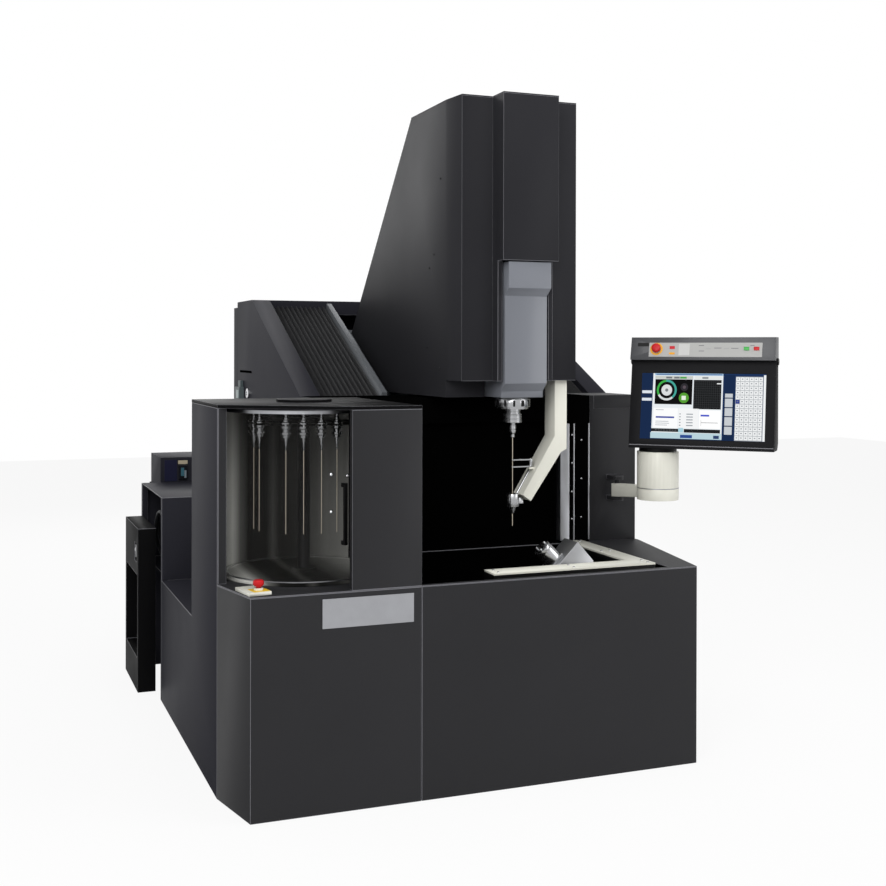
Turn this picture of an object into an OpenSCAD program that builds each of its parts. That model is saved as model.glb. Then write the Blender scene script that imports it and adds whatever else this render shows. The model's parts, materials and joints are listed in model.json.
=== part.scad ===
// A drilling electrical discharge machine with an electrode magazine.
// Places are measured from the left front corner of the base, X to the right,
// Y to the back and Z up from the floor. Each sub-part is then moved so that
// the origin is at the bottom centre of the whole machine.

/* [Base] */
// Width of the base front between its two front corners
base_w = 1836; // [1820:2:1860]
// Height of the base covers and of the deck
base_h = 800; // [796:1:806]
// Place of the seam between the two front covers
seam_x = 644; // [640:1:648]
// How far the left side stands out past the front corner
left_flare = 62; // [50:1:70]
// How far back the left corner panel reaches
left_flare_d = 292; // [285:1:296]
// How far the right side stands out past the front corner
right_flare = 138; // [130:1:145]
// How far back the right corner panel reaches
right_flare_d = 700; // [690:1:710]
// Thickness of the cover sheets
sheet_t = 4; // [3:0.5:5]
// Height of the left side cover behind the magazine
side_h = 574; // [560:1:590]

/* [Magazine] */
// Depth of the magazine tower
tower_d = 842; // [836:1:850]
// Height of the tower walls above the floor
tower_h = 1457; // [1450:1:1462]
// Place of the carousel axis from the left corner
mag_x = 310; // [308:1:312]
// Place of the carousel axis from the front
mag_y = 445; // [443:1:448]
// Outer radius of the curved glass door
glass_r = 310; // [306:1:312]
// Thickness of the glass door
glass_t = 5; // [4:0.5:6]
// Radius on which the electrode holders hang
pitch_r = 197; // [190:1:205]
// Number of places on the carousel
stations = 18; // [12:1:20]
// Length of the stored electrodes
stored_l = 317; // [250:1:340]

/* [Housing] */
// Height of the roof behind the work zone
roof_z = 1470; // [1468:1:1474]
// Distance of the rear wall of the work zone from the front
rear_wall_y = 735; // [730:1:740]
// Where the slanted slideway begins
slope_y = 1017; // [1012:1:1022]
// Angle of the slanted slideway
slope_a = 25.4; // [25:0.1:26]
// Length of the slanted slideway
slope_len = 1080; // [1070:1:1090]
// Inner side of the left cheek
cheek_x = 537; // [530:1:540]
// Width of each cheek
cheek_w = 94; // [90:1:96]
// Back of the cheeks
cheek_back = 2345; // [2330:1:2360]
// Depth of the rear cover
rear_cover_d = 93; // [80:1:100]
// Height of the rear cover
rear_cover_h = 1905; // [1880:1:1910]

/* [Column] */
// Place of the machine axis from the left corner
axis_x = 1208; // [1204:1:1212]
// Distance of the spindle axis from the front
spindle_y = 430; // [428:1:432]
// Half width of the column between its side covers
column_half_w = 277; // [274:1:280]
// Height of the column top above the floor
column_top = 2720; // [2680:5:2760]
// Height of the lower edge of the column front
column_low = 1549; // [1546:1:1552]
// Distance of the column front from the machine front
column_y = 360; // [358:1:364]
// Width of the raised middle panel
panel_w = 248; // [244:2:252]
// How far the middle panel stands out
panel_out = 110; // [106:1:112]

/* [Head] */
// Width of the head cover
head_w = 190; // [184:2:192]
// Height of the head cover underside above the floor
head_low = 1480; // [1478:1:1484]
// Height of the head cover top above the floor
head_top = 2036; // [2030:1:2038]
// Diameter of the spindle flange
flange_dia = 148; // [140:1:150]
// Diameter of the spindle nose
nose_dia = 79; // [74:1:82]
// Diameter of the collet chuck
collet_dia = 29; // [26:1:30]
// Diameter of the working electrode
electrode_dia = 3; // [2:0.5:4]
// Length of the working electrode below the collet
electrode_l = 370; // [340:1:380]

/* [Table and tank] */
// Height of the table frame top above the deck
table_rise = 10; // [6:1:14]
// Left end of the table frame
table_x0 = 972; // [960:1:980]
// Right edge of the table frame
table_x1 = 1690; // [1684:1:1692]
// Width of the front table bar
bar_w = 99; // [94:1:104]
// Width of the right table bar
side_bar_w = 85; // [80:1:88]
// Wall thickness of the drop tank
tank_t = 20; // [16:1:22]
// Height of the drop tank walls
tank_h = 350; // [340:1:355]

/* [Pendant] */
// Place of the pendant post from the left corner
post_x = 1842; // [1838:1:1846]
// Distance of the pendant post from the front
post_y = 315; // [312:1:318]
// Diameter of the pendant post
post_dia = 178; // [174:1:180]
// Angle at which the pendant stands
pendant_a = -44.2; // [-46:0.1:-42]
// Length of the pendant left of its post
pendant_left = 105; // [100:1:108]
// Length of the pendant right of its post
pendant_right = 500; // [490:1:504]

/* [Cabinets] */
// Front of the side box
side_box_y = 1663; // [1650:1:1670]
// Depth of the side box
side_box_d = 714; // [700:1:714]
// Height of the side box
side_box_h = 969; // [960:1:980]
// Thickness of the pump cabinet
pump_w = 86; // [80:1:92]
// Height of the pump cabinet
pump_h = 800; // [780:1:810]
// Height of the rear cabinet
rear_box_h = 1099; // [1080:1:1110]
// Depth of the rear cabinet with its door
rear_box_d = 350; // [344:1:352]

/* [Hidden] */

// Colours
front_color = "#303033";
side_color = "#3d3e42";
black_color = "#111113";
cast_color = "#55585c";
steel_color = "#b9bbbd";
ivory_color = "#e3e2d6";
head_color = "#7f8287";
glass_color = "#a9b4b455";
red_color = "#c0262b";
green_color = "#3fa34d";

// Shares of a radius or a height
neck_share = 0.42;
taper_share = 0.62;
cap_share = 0.8;
collet_body_share = 0.55;
collet_tip_share = 0.2;
holder_neck_share = 0.6;

// Clearances
over = 1;
fit_gap = 0.05;
run_gap = 0.5;
seam_gap = 2;
round_fn = 64;
small_fn = 32;

// Base
return_w = 25;
deck_t = 4;
foot_h = 90;
foot_r = 45;
foot_pad = 20;
stud_r = 15;
bed_x0 = 80;
bed_x1 = base_w - 56;
bed_y0 = 90;
bed_drop = 50;
bed_top = base_h - tank_h - bed_drop;
bed_wall = 40;
bed_back_y = 790;
rear_bed_x0 = seam_x + 6;
rear_bed_x1 = 1790;
pocket_top = 1100;
right_x = base_w + right_flare;
left_x = -left_flare;
cheek_x0 = cheek_x - cheek_w;
cheek_x1 = right_x - cheek_w;
beam_y = slope_y + slope_len * cos(slope_a);
cheek_top = roof_z + slope_len * sin(slope_a);
beam_h = 72;
rear_cover_y = cheek_back + rear_cover_d;

// Slideway, depths square to the slope
bed_n = 245;
rail_n = 205;
plate_n0 = 200;
plate_n1 = 150;
pleat_n1 = 15;
pleat_low = 45;
rail_w = 45;
rail_s = [180, 880];
screw_s = 530;
screw_n = 222;
screw_r = 18;
frame_in = 374;
frame_t = 26;
frame_x0 = axis_x - frame_in;
frame_x1 = axis_x + frame_in;
plate_s0 = 30;
plate_s1 = slope_len - plate_s0 - sheet_t;
lip_drop = 215;

// Saddle top and horizontal slideway
saddle_top = 1740;
wedge_w = 396;
wedge_y0 = 940;
wedge_y1 = 1575;
wedge_t = 45;
y_rail_w = 35;
y_rail_h = 35;
y_rail_off = 140;
y_screw_z = 1775;
y_screw_r = 16;
y_block_w = 60;

// Column inside
ram_low = 1832;
ram_t = 68;
ram_w = 336;
ram_back = 1490;
wall_y = 560;
wall_t = 140;
wall_w = 396;
wall_low = 1500;
wall_top = 2560;
carriage_w = 90;
carriage_l = 100;
y_carriages = [wedge_y0 + 140, wedge_y0 + 390];
nut_y = [wedge_y0 + 260, wedge_y0 + 350];
z_rail_off = 62;
z_rail_w = 30;
z_rail_t = 28;
w_rail_x = 1415;
w_rail_w = 25;
pad_x1 = 1455;
bracket_z = [1640, 2380];
pad_z = [1600, 2000];

// Column covers
chamfer_in = 17;
chamfer_d = 134;
skirt_low = 1478;
skirt_in = 101;
column_edge_n = 90;
column_top_d = 566;
rear_lean = 1.0496;
pocket_half = 104;
pocket_top_z = 2040;
pocket_out = 55;
pocket_back = 140;
left_col_x = axis_x - column_half_w;
right_col_x = axis_x + column_half_w;
skirt_y = column_y + chamfer_d;
column_back_y = column_y + column_top_d;
heel_y = (column_top - sheet_t + column_back_y * rear_lean - roof_z + slope_y * tan(slope_a)
    + column_edge_n / cos(slope_a)) / (rear_lean + tan(slope_a));
column_heel = [heel_y, column_top - sheet_t - (heel_y - column_back_y) * rear_lean];

// Head
head_chest_y = spindle_y - 132;
head_brow_y = spindle_y - 171;
head_lip_y = spindle_y - 95;
head_back_y = spindle_y + 95;
head_rear_top_y = spindle_y + 70;
head_lip_h = 26;
head_chin_h = 59;
head_chest_h = 418;
head_brow_h = 448;
head_wall = 4;
barrel_r = 65;
barrel_h = 420;
flange_h = 50;
flange_lip = 8;
nose_h = 58.5;
nose_bore_r = 25;
shaft_h = 160;
collet_h = 63;
slide_t = 31;
slide_low = 1600;
slide_high = 2000;
slide_half = 83;
block_half = 58;
z_screw_r = 12;
z_screw_y = wall_y - 14;
z_nut_half = 32;
nut_z = [1850, 1890];
z_motor_half = 50;
z_motor_z = [2095, 2300];

// Guide arm
arm_y = spindle_y - 35;
arm_d = 95;
arm_top = 1960;
arm_x0 = axis_x + 180;
arm_x1 = arm_x0 + 56;
arm_elbow_in = [arm_x0, 1313];
arm_elbow_out = [arm_x1, 1258];
arm_knee = [axis_x + 210, 1245];
arm_tip_low = [axis_x + 69, 1043];
arm_tip_high = [axis_x + 32, 1070];
arm_block_z = [1640, 1860];
tube_r = 6;
tube_top = [axis_x + 98, 1182];
tube_low = [axis_x + 24, 1058];
tube_back = 22;
guide_r = 27.5;
guide_z0 = 1020;
guide_z1 = 1073;
guide_nose = 30;
guide_bore_r = 3;
link_h = 24;
steady_x = axis_x + 84;
steady_z = [1183, 1212];
finger_w = 12;
finger_t = 5;
finger_back = 9;
notch_r = 3;
steady_r = 9;

// Magazine details
front_wall_x = 374;
wall_return = 34;
left_return = 35;
top_cover_t = 13;
pan_t = 6;
ring_w = 15;
ring_h = 5.5;
liner_r = 320;
liner_t = 3;
liner_a0 = 40;
liner_a1 = 168;
door_a0 = 171;
door_sweep = 119;
door_z0 = base_h + 12;
door_z1 = tower_h - 7;
window_y = [250, 600];
window_z = [base_h + 100, tower_h - 77];
lid_r = 110;
lid_h = 12;
hub_r = 60;
shaft_r = 25;
disc_drop = 72;
disc_z = tower_h - disc_drop;
disc_t = 8;
disc_r = 168;
spoke_w = 14;
fork_gap = 19;
fork_w = 5;
fork_l = 50;
holder_r = 9;
holder_flange_r = 22;
holder_flange_t = 9;
holder_body_r = 15;
holder_collar_r = 21;
holder_nose_r = 8;
holder_top = 56;
holder_body_h = 44;
holder_collar_h = 12;
holder_nose_h = 48;
loaded_places = [-4, -3, -1, 0, 1, 2];
view_a = -104.9;
stored_r = 1.5;
handle_a = 283;
handle_rise = 147;
handle_l = 232;
handle_z = [base_h + handle_rise, base_h + handle_rise + handle_l];
handle_out = 26;
handle_t = 9;
handle_w = 16;
estop_at = [2, 22];
estop_a = 10.4;
estop_w = 84;
estop_d = 135;
estop_h = 12;
estop_seat = [52, 44];
estop_collar_r = 17;
estop_collar_h = 8;
mushroom_r = 20;
mushroom_h = 22;
estop_travel = 6;

// Table, tank and rotary unit
tank_x0 = seam_x + 11;
tank_x1 = base_w - 118;
tank_y = 28;
tank_back = rear_wall_y - 4;
tank_z0 = base_h - tank_h - deck_t;
table_z = base_h + table_rise;
table_y0 = 80;
table_back = 726;
bar_h = 60;
pedestal_x0 = 960;
pedestal_top = table_z - 170;
pedestal_y0 = 84;
pedestal_wall = 30;
beam_low = roof_z - 115;
beam_d = 40;
back_y = rear_wall_y + beam_d;
plate_x0 = 1636;
strip_x = 1587;
strip_w = 45;
strip_z = [table_z, beam_low - 13];
edge_x = [1651, 1727];
edge_w = 6;
edge_d = 3;
enclosure_x = tank_x1 + 17;
unit_y = 262;
unit_a = 46;
bracket_x1 = 1470;
bracket_peak = [1398, table_z + 82];
bracket_d = 120;
bracket_shoulder = table_z + 2;
seat_l = 160;
unit_s = 112;
unit_r = 37;
unit_l = 66;
unit_flange_t = 12;
face_t = 16;
spigot_r = 14;
jaw_r = 5;

// Pendant details
pivot_post_y = 680;
arm_z = [1009, 1066];
arm_half = 34;
arm_root_x = post_x + 8;
arm_root_r = 27;
arm_pin_r = 12;
lug_t = 18;
arm_cup_z = [1037, 1085];
post_z1 = 1243;
collar_z1 = 1262;
collar_r = 76;
pin_r = 20;
screen_low_y = 95;
screen_top_y = 34;
screen_foot_z = 1275;
screen_x = [-57, 462];
screen_v = [28, 308];
screen_t = 4;
housing_low = 1262;
housing_top = 1636;
housing_back = 30;
console_top = 1732;
console_front_y = 66;
console_brow_y = 40;
console_back = 40;
console_lip = 10;
button_at = [6, 383, 424];
button_z = 1684;
button_w = 22;
button_h = 15;
button_out = 4;
button_travel = 3;
pendant_estop_r = 19;

// Cabinets
box_x1 = 439;
post_w = 30;
pump_y0 = 1850;
pump_y1 = 2336;
pump_split = 570;
plinth_h = 166;
rear_box_x0 = 37;
rear_box_y0 = side_box_y + side_box_d;
door_t = 18;
rear_box_y1 = rear_box_y0 + rear_box_d;
hinge_r = 5;
hinge_h = 30;
hinge_z = [rear_box_h / 5, rear_box_h * 4 / 5];
louvre_w = 260;
louvre_h = 10;
louvre_pitch = 34;
louvre_count = 12;

// The whole machine's box in plan
console_corner = [pendant_right * cos(pendant_a) - console_back * sin(pendant_a),
    pendant_right * sin(pendant_a) - screen_low_y * cos(pendant_a)];
plan_x0 = left_x - pump_w;
plan_x1 = post_x + console_corner[0];
plan_y0 = post_y + console_corner[1];
plan_y1 = rear_box_y1;

// Moves a sub-part so that the machine's origin is at its bottom centre
module placed() {
    translate([-(plan_x0 + plan_x1) / 2, -(plan_y0 + plan_y1) / 2, 0]) children();
}

// A box between two corners
module block(low, high) {
    translate(low) cube(high - low);
}

// Carries an outline in Y and Z along X
module along_x(x0, w) {
    translate([x0, 0, 0]) rotate([90, 0, 90]) linear_extrude(w) children();
}

// Carries an outline in X and Z along Y
module along_y(y0, d) {
    translate([0, y0 + d, 0]) rotate([90, 0, 0]) linear_extrude(d) children();
}

// The frame of the slideway: X along the machine, Y up the slope, Z square to it
module on_slope() {
    translate([0, slope_y, roof_z]) rotate([slope_a, 0, 0]) children();
}

// A cylinder along X
module rod_x(at, r, l) {
    translate(at) rotate([0, 90, 0]) cylinder(r = r, h = l, $fn = small_fn);
}

// A cylinder along Y
module rod_y(at, r, l) {
    translate(at) rotate([-90, 0, 0]) cylinder(r = r, h = l, $fn = small_fn);
}

// A point in Y and Z at s up the slope and n above it
function slope_pt(s, n) =
    [slope_y + s * cos(slope_a) - n * sin(slope_a), roof_z + s * sin(slope_a) + n * cos(slope_a)];

function left_of(a, b) = let(d = (b - a) / norm(b - a)) [-d[1], d[0]];

function miter(p, i, n1, n2, t) = p[i] + t * (n1 + n2) / (1 + n1 * n2);

// The outline drawn in by t, for points that run anticlockwise
function inset(p, t) = let(n = len(p)) [for (i = [0:n - 1])
    miter(p, i, left_of(p[(i + n - 1) % n], p[i]), left_of(p[i], p[(i + 1) % n]), t)];

// The left side of an open run of bends, t away from it
function run_side(p, t) = let(n = len(p)) [for (i = [n - 1:-1:0])
    miter(p, i,
        i == 0 ? left_of(p[0], p[1]) : left_of(p[i - 1], p[i]),
        i == n - 1 ? left_of(p[n - 2], p[n - 1]) : left_of(p[i], p[i + 1]), t)];

// A bent sheet in plan, from height z0 to z1
module sheet_run(p, z0, z1) {
    translate([0, 0, z0]) linear_extrude(z1 - z0) polygon(concat(p, run_side(p, sheet_t)));
}

// A bent sheet in side view, from x0 along w
module side_run(p, x0, w) {
    along_x(x0, w) polygon(concat(p, run_side(p, sheet_t)));
}

// A closed ring of sheet in side view
module side_ring(p, x0, w, t) {
    along_x(x0, w) difference() {
        polygon(p);
        polygon(inset(p, t));
    }
}

module bed_casting() {
    front_edge = slope_pt(0, -bed_n);
    back_edge = slope_pt(slope_len, -bed_n);
    profile = [[bed_back_y, foot_h], [back_edge[0], foot_h], back_edge, front_edge,
        [bed_back_y, front_edge[1]]];
    cell_w = (rear_bed_x1 - rear_bed_x0 - 4 * bed_wall) / 3;
    front_w = (bed_x1 - bed_x0 - 5 * bed_wall) / 4;
    placed() color(cast_color) difference() {
        union() {
            block([bed_x0, bed_y0, foot_h], [bed_x1, bed_back_y, bed_top]);
            along_x(rear_bed_x0, rear_bed_x1 - rear_bed_x0) polygon(profile);
        }
        for (i = [0:2]) {
            x = rear_bed_x0 + bed_wall + i * (cell_w + bed_wall);
            block([x, bed_back_y + bed_wall, foot_h - over],
                [x + cell_w, back_edge[0] - bed_wall, pocket_top]);
        }
        for (i = [0:3]) {
            x = bed_x0 + bed_wall + i * (front_w + bed_wall);
            block([x, bed_y0 + bed_wall, foot_h - over],
                [x + front_w, bed_back_y - bed_wall, bed_top - bed_wall]);
        }
    }
}

module levelling_feet() {
    front_at = [for (x = [bed_x0, bed_x1]) [x + (x == bed_x0 ? 1 : -1) * bed_wall / 2,
        bed_y0 + bed_wall / 2]];
    back_at = [for (x = [rear_bed_x0 + bed_wall / 2, rear_bed_x1 - bed_wall / 2],
        y = [bed_back_y, slope_pt(slope_len, -bed_n)[0] - bed_wall]) [x, y + bed_wall / 2]];
    placed() color(steel_color) for (at = concat(front_at, back_at)) translate(at) {
        cylinder(r = foot_r, h = foot_pad, $fn = small_fn);
        cylinder(r = stud_r, h = foot_h, $fn = small_fn);
    }
}

module front_left_cover() {
    run = [[left_x, left_flare_d], [0, 0], [seam_x - seam_gap / 2, 0],
        [seam_x - seam_gap / 2, return_w]];
    placed() color(front_color) sheet_run(run, 0, base_h - deck_t);
}

module front_right_cover() {
    run = [[seam_x + seam_gap / 2, return_w], [seam_x + seam_gap / 2, 0], [base_w, 0],
        [right_x, right_flare_d]];
    placed() color(front_color) sheet_run(run, 0, base_h - deck_t);
}

module left_side_cover() {
    y0 = left_flare_d + seam_gap;
    outline = [[y0, 0], [side_box_y, 0], [side_box_y, side_h], [tower_d, side_h], [tower_d, tower_h],
        [y0, tower_h]];
    placed() color(side_color) {
        along_x(left_x, sheet_t) polygon(outline);
        block([left_x + sheet_t, tower_d, side_h - sheet_t], [cheek_x0, side_box_y, side_h]);
    }
}

module right_side_cover() {
    y0 = right_flare_d + seam_gap;
    outline = [[y0, 0], [cheek_back, 0], [cheek_back, base_h], [rear_wall_y, base_h],
        [rear_wall_y, base_h - deck_t], [y0, base_h - deck_t]];
    placed() color(side_color) along_x(right_x - sheet_t, sheet_t) polygon(outline);
}

module right_enclosure() {
    x0 = enclosure_x;
    lip_h = 61;
    lip_in = 20;
    lug_low = arm_z[0] - run_gap - lug_t;
    lug_high = arm_cup_z[1] + run_gap;
    run = [[x0, rear_wall_y], [right_x, rear_wall_y], [right_x, cheek_back]];
    placed() color(front_color) {
        sheet_run(run, base_h, roof_z);
        block([x0, rear_wall_y + sheet_t, roof_z - sheet_t], [right_x - sheet_t, slope_y, roof_z]);
        block([x0 + lip_in, rear_wall_y - edge_d, roof_z - lip_h], [right_x, rear_wall_y, roof_z]);
        for (z = [lug_low, lug_high]) hull() {
            translate([arm_root_x, pivot_post_y, z])
                cylinder(r = arm_root_r, h = lug_t, $fn = small_fn);
            block([arm_root_x - arm_root_r, rear_wall_y - lug_t, z],
                [arm_root_x + arm_root_r, rear_wall_y, z + lug_t]);
        }
        translate([arm_root_x, pivot_post_y, lug_low])
            cylinder(r = arm_pin_r, h = lug_high - lug_low + lug_t, $fn = small_fn);
    }
}

// The top and the inner side that both cheeks share
module cheek_top_and_inner(x0, w, inner_x) {
    ridge = [[cheek_back, cheek_top], [beam_y, cheek_top], [slope_y, roof_z]];
    inner = [[slope_y, roof_z], slope_pt(0, -bed_n), slope_pt(slope_len, -bed_n), [beam_y, cheek_top]];
    side_run(ridge, x0, w);
    along_x(inner_x, sheet_t) polygon(inner);
}

module left_cheek_cover() {
    outline = [[tower_d, side_h], [cheek_back, side_h], [cheek_back, cheek_top], [beam_y, cheek_top],
        [slope_y, roof_z], [tower_d, roof_z]];
    placed() color(side_color) {
        along_x(cheek_x0, sheet_t) polygon(outline);
        cheek_top_and_inner(cheek_x0, cheek_w, cheek_x - sheet_t);
    }
}

module right_cheek_cover() {
    outline = [[slope_y, roof_z], [cheek_back, roof_z], [cheek_back, cheek_top], [beam_y, cheek_top]];
    placed() color(side_color) {
        along_x(right_x - sheet_t, sheet_t) polygon(outline);
        cheek_top_and_inner(cheek_x1, cheek_w - sheet_t, cheek_x1);
    }
}

module rear_cover() {
    x0 = cheek_x0;
    beam_low_z = cheek_top - beam_h;
    back = [[right_x, cheek_back], [right_x, rear_cover_y], [x0, rear_cover_y], [x0, cheek_back]];
    top = [[cheek_back, cheek_top], [beam_y, cheek_top], [beam_y, beam_low_z]];
    placed() color(side_color) difference() {
        union() {
            sheet_run(back, 0, rear_cover_h - sheet_t);
            block([x0, cheek_back, rear_cover_h - sheet_t], [right_x, rear_cover_y, rear_cover_h]);
            side_run(top, cheek_x, cheek_x1 - cheek_x);
            block([x0, cheek_back, rear_cover_h], [right_x, cheek_back + sheet_t, cheek_top]);
        }
        for (side = [0, 1], i = [0:louvre_count - 1])
            translate([x0 + rear_cover_d + side * (right_x - x0 - 2 * rear_cover_d - louvre_w),
                rear_cover_y - sheet_t - over, pump_h + i * louvre_pitch])
                cube([louvre_w, sheet_t + 2 * over, louvre_h]);
    }
}

module deck_plate() {
    edge_x0 = left_x + sheet_t;
    outline = [[left_x, left_flare_d], [0, 0], [base_w, 0], [right_x, right_flare_d],
        [right_x, rear_wall_y], [seam_x, rear_wall_y], [seam_x, tower_d], [edge_x0, tower_d],
        [edge_x0, left_flare_d]];
    placed() color(front_color) difference() {
        translate([0, 0, base_h - deck_t]) linear_extrude(deck_t) polygon(outline);
        block([tank_x0 - run_gap, tank_y - run_gap, base_h - deck_t - over],
            [tank_x1 + run_gap, rear_wall_y - sheet_t, base_h + over]);
    }
}

module table_frame() {
    placed() color(ivory_color) {
        block([table_x0, table_y0, table_z - bar_h], [table_x1, table_y0 + bar_w, table_z]);
        block([table_x1 - side_bar_w, table_y0 + bar_w, table_z - bar_h],
            [table_x1, table_back, table_z]);
    }
}

module table_pedestal() {
    bar_low = table_z - bar_h;
    inner_x1 = table_x1 - pedestal_wall;
    placed() color(black_color) difference() {
        union() {
            block([pedestal_x0, pedestal_y0, bed_top], [table_x1, table_back, pedestal_top]);
            block([table_x0 + over, pedestal_y0, pedestal_top],
                [table_x1, table_y0 + bar_w - 4 * over, bar_low]);
            block([table_x1 - side_bar_w + 4 * over, table_y0 + bar_w - 4 * over, pedestal_top],
                [table_x1, table_back, bar_low]);
        }
        block([pedestal_x0 + pedestal_wall, pedestal_y0 + pedestal_wall, bed_top - over],
            [inner_x1, table_back - pedestal_wall, pedestal_top - pedestal_wall]);
    }
}

module rear_wall() {
    beam = [[slope_y, roof_z - lip_drop], [slope_y, roof_z], [rear_wall_y, roof_z],
        [rear_wall_y, beam_low], [back_y, beam_low]];
    track = [[plate_x0, back_y], [plate_x0, rear_wall_y], [enclosure_x, rear_wall_y]];
    placed() color(black_color) {
        side_run(beam, seam_x, enclosure_x - seam_x);
        block([cheek_x0 + sheet_t, tower_d, roof_z - sheet_t], [seam_x, slope_y, roof_z]);
        block([seam_x, back_y, bed_top], [enclosure_x, back_y + sheet_t, beam_low + sheet_t]);
        sheet_run(track, base_h, beam_low);
    }
}

module seal_strips() {
    strip = [[strip_x, back_y], [strip_x, rear_wall_y], [strip_x + strip_w, rear_wall_y],
        [strip_x + strip_w, back_y]];
    placed() color(steel_color) {
        sheet_run(strip, strip_z[0], strip_z[1]);
        for (x = edge_x) block([x, rear_wall_y - edge_d, strip_z[0]],
            [x + edge_w, rear_wall_y, strip_z[1]]);
    }
}

module magazine_housing() {
    run = [[front_wall_x, wall_return], [front_wall_x, 0], [seam_x, 0], [seam_x, tower_d],
        [left_x + sheet_t, tower_d]];
    placed() color(front_color) difference() {
        union() {
            sheet_run(run, base_h, tower_h);
            block([left_x + sheet_t, left_flare_d, base_h],
                [left_x + left_return, left_flare_d + sheet_t, tower_h]);
        }
        block([seam_x - sheet_t - over, window_y[0], window_z[0]],
            [seam_x + over, window_y[1], window_z[1]]);
    }
}

module magazine_top_cover() {
    outline = [[left_x, left_flare_d], [front_wall_x, 0], [seam_x, 0], [seam_x, tower_d],
        [left_x, tower_d]];
    placed() color(front_color) {
        translate([0, 0, tower_h]) linear_extrude(top_cover_t) difference() {
            polygon(outline);
            polygon(inset(outline, 4 * sheet_t));
        }
        translate([0, 0, tower_h + top_cover_t - sheet_t]) linear_extrude(sheet_t) polygon(outline);
        translate([mag_x, mag_y, 0]) {
            translate([0, 0, tower_h + top_cover_t])
                cylinder(r = lid_r, h = lid_h, $fn = round_fn);
            translate([0, 0, door_z1 + run_gap]) difference() {
                cylinder(r = glass_r + glass_t, h = tower_h + top_cover_t - door_z1 - sheet_t,
                    $fn = round_fn);
                translate([0, 0, -over])
                    cylinder(r = glass_r - 2 * glass_t, h = top_cover_t * 2, $fn = round_fn);
            }
        }
    }
}

module magazine_liner() {
    placed() color(black_color) translate([mag_x, mag_y, base_h]) {
        cylinder(r = liner_r + liner_t / 2, h = pan_t, $fn = round_fn);
        difference() {
            cylinder(r = glass_r + glass_t, h = pan_t + ring_h, $fn = round_fn);
            translate([0, 0, -over]) cylinder(r = glass_r - ring_w, h = pan_t + ring_h + 2 * over,
                $fn = round_fn);
        }
        rotate([0, 0, liner_a0]) rotate_extrude(angle = liner_a1 - liner_a0, $fn = round_fn)
            translate([liner_r, 0]) square([liner_t, tower_h - base_h]);
        cylinder(r = shaft_r * 2, h = pan_t * 3, $fn = round_fn);
    }
}

module estop_plate() {
    placed() color(ivory_color) translate([estop_at[0], estop_at[1], base_h]) rotate([0, 0, estop_a])
        difference() {
            union() {
                cube([estop_w, estop_d, estop_h]);
                translate([estop_seat[0], estop_seat[1], 0])
                    cylinder(r = estop_collar_r, h = estop_h + estop_collar_h, $fn = small_fn);
            }
            translate([estop_seat[0], estop_seat[1], estop_h - estop_travel - over])
                cylinder(r = estop_collar_r / 2 + run_gap, h = estop_h * 2, $fn = small_fn);
        }
}

module magazine_estop_button() {
    stem_r = estop_collar_r / 2;
    low = estop_h + estop_collar_h + estop_travel + run_gap;
    placed() color(red_color) translate([estop_at[0], estop_at[1], base_h]) rotate([0, 0, estop_a])
        translate([estop_seat[0], estop_seat[1], 0]) {
            translate([0, 0, estop_h]) cylinder(r = stem_r, h = low - estop_h + over, $fn = small_fn);
            translate([0, 0, low]) cylinder(r = mushroom_r * cap_share, h = mushroom_h / 4,
                $fn = small_fn);
            translate([0, 0, low + mushroom_h / 4])
                cylinder(r = mushroom_r, h = mushroom_h / 2, $fn = small_fn);
            translate([0, 0, low + mushroom_h * 3 / 4])
                cylinder(r1 = mushroom_r, r2 = mushroom_r * cap_share, h = mushroom_h / 4,
                    $fn = small_fn);
        }
}

module side_box() {
    y1 = side_box_y + side_box_d;
    shelf_z = side_h;
    placed() color(side_color) {
        block([left_x, side_box_y, side_box_h - sheet_t], [box_x1, y1, side_box_h]);
        block([left_x, side_box_y, side_h], [box_x1, side_box_y + sheet_t, side_box_h - sheet_t]);
        block([left_x, y1 - sheet_t, 0], [box_x1, y1, side_box_h - sheet_t]);
        block([box_x1 - sheet_t, side_box_y, 0], [box_x1, y1 - sheet_t, side_box_h - sheet_t]);
        block([left_x, side_box_y, 0], [left_x + post_w, side_box_y + post_w, side_box_h - sheet_t]);
        block([left_x, y1 - post_w, 0], [left_x + post_w, y1 - sheet_t, side_box_h - sheet_t]);
        block([left_x + post_w, side_box_y + sheet_t, shelf_z],
            [box_x1 - sheet_t, y1 - sheet_t, shelf_z + sheet_t]);
    }
}

module pump_cabinet() {
    x0 = plan_x0;
    x1 = left_x - run_gap;
    pull_w = 70;
    pull_h = 90;
    pull_d = 12;
    placed() color(side_color) difference() {
        union() {
            block([x0, pump_y0, pump_split], [x1, pump_y1, pump_h]);
            block([x0, pump_y0, 0], [x1, pump_y1, plinth_h]);
            for (y = [pump_y0, pump_y1 - post_w])
                block([x0, y, plinth_h - over], [x1, y + post_w, pump_split + over]);
        }
        block([x0 + sheet_t, pump_y0 + sheet_t, pump_split + sheet_t],
            [x1 - sheet_t, pump_y1 - sheet_t, pump_h - sheet_t]);
        block([x0 - over, pump_y0 + post_w * 2, pump_split + post_w * 2],
            [x0 + pull_d, pump_y0 + post_w * 2 + pull_w, pump_split + post_w * 2 + pull_h]);
    }
}

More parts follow.
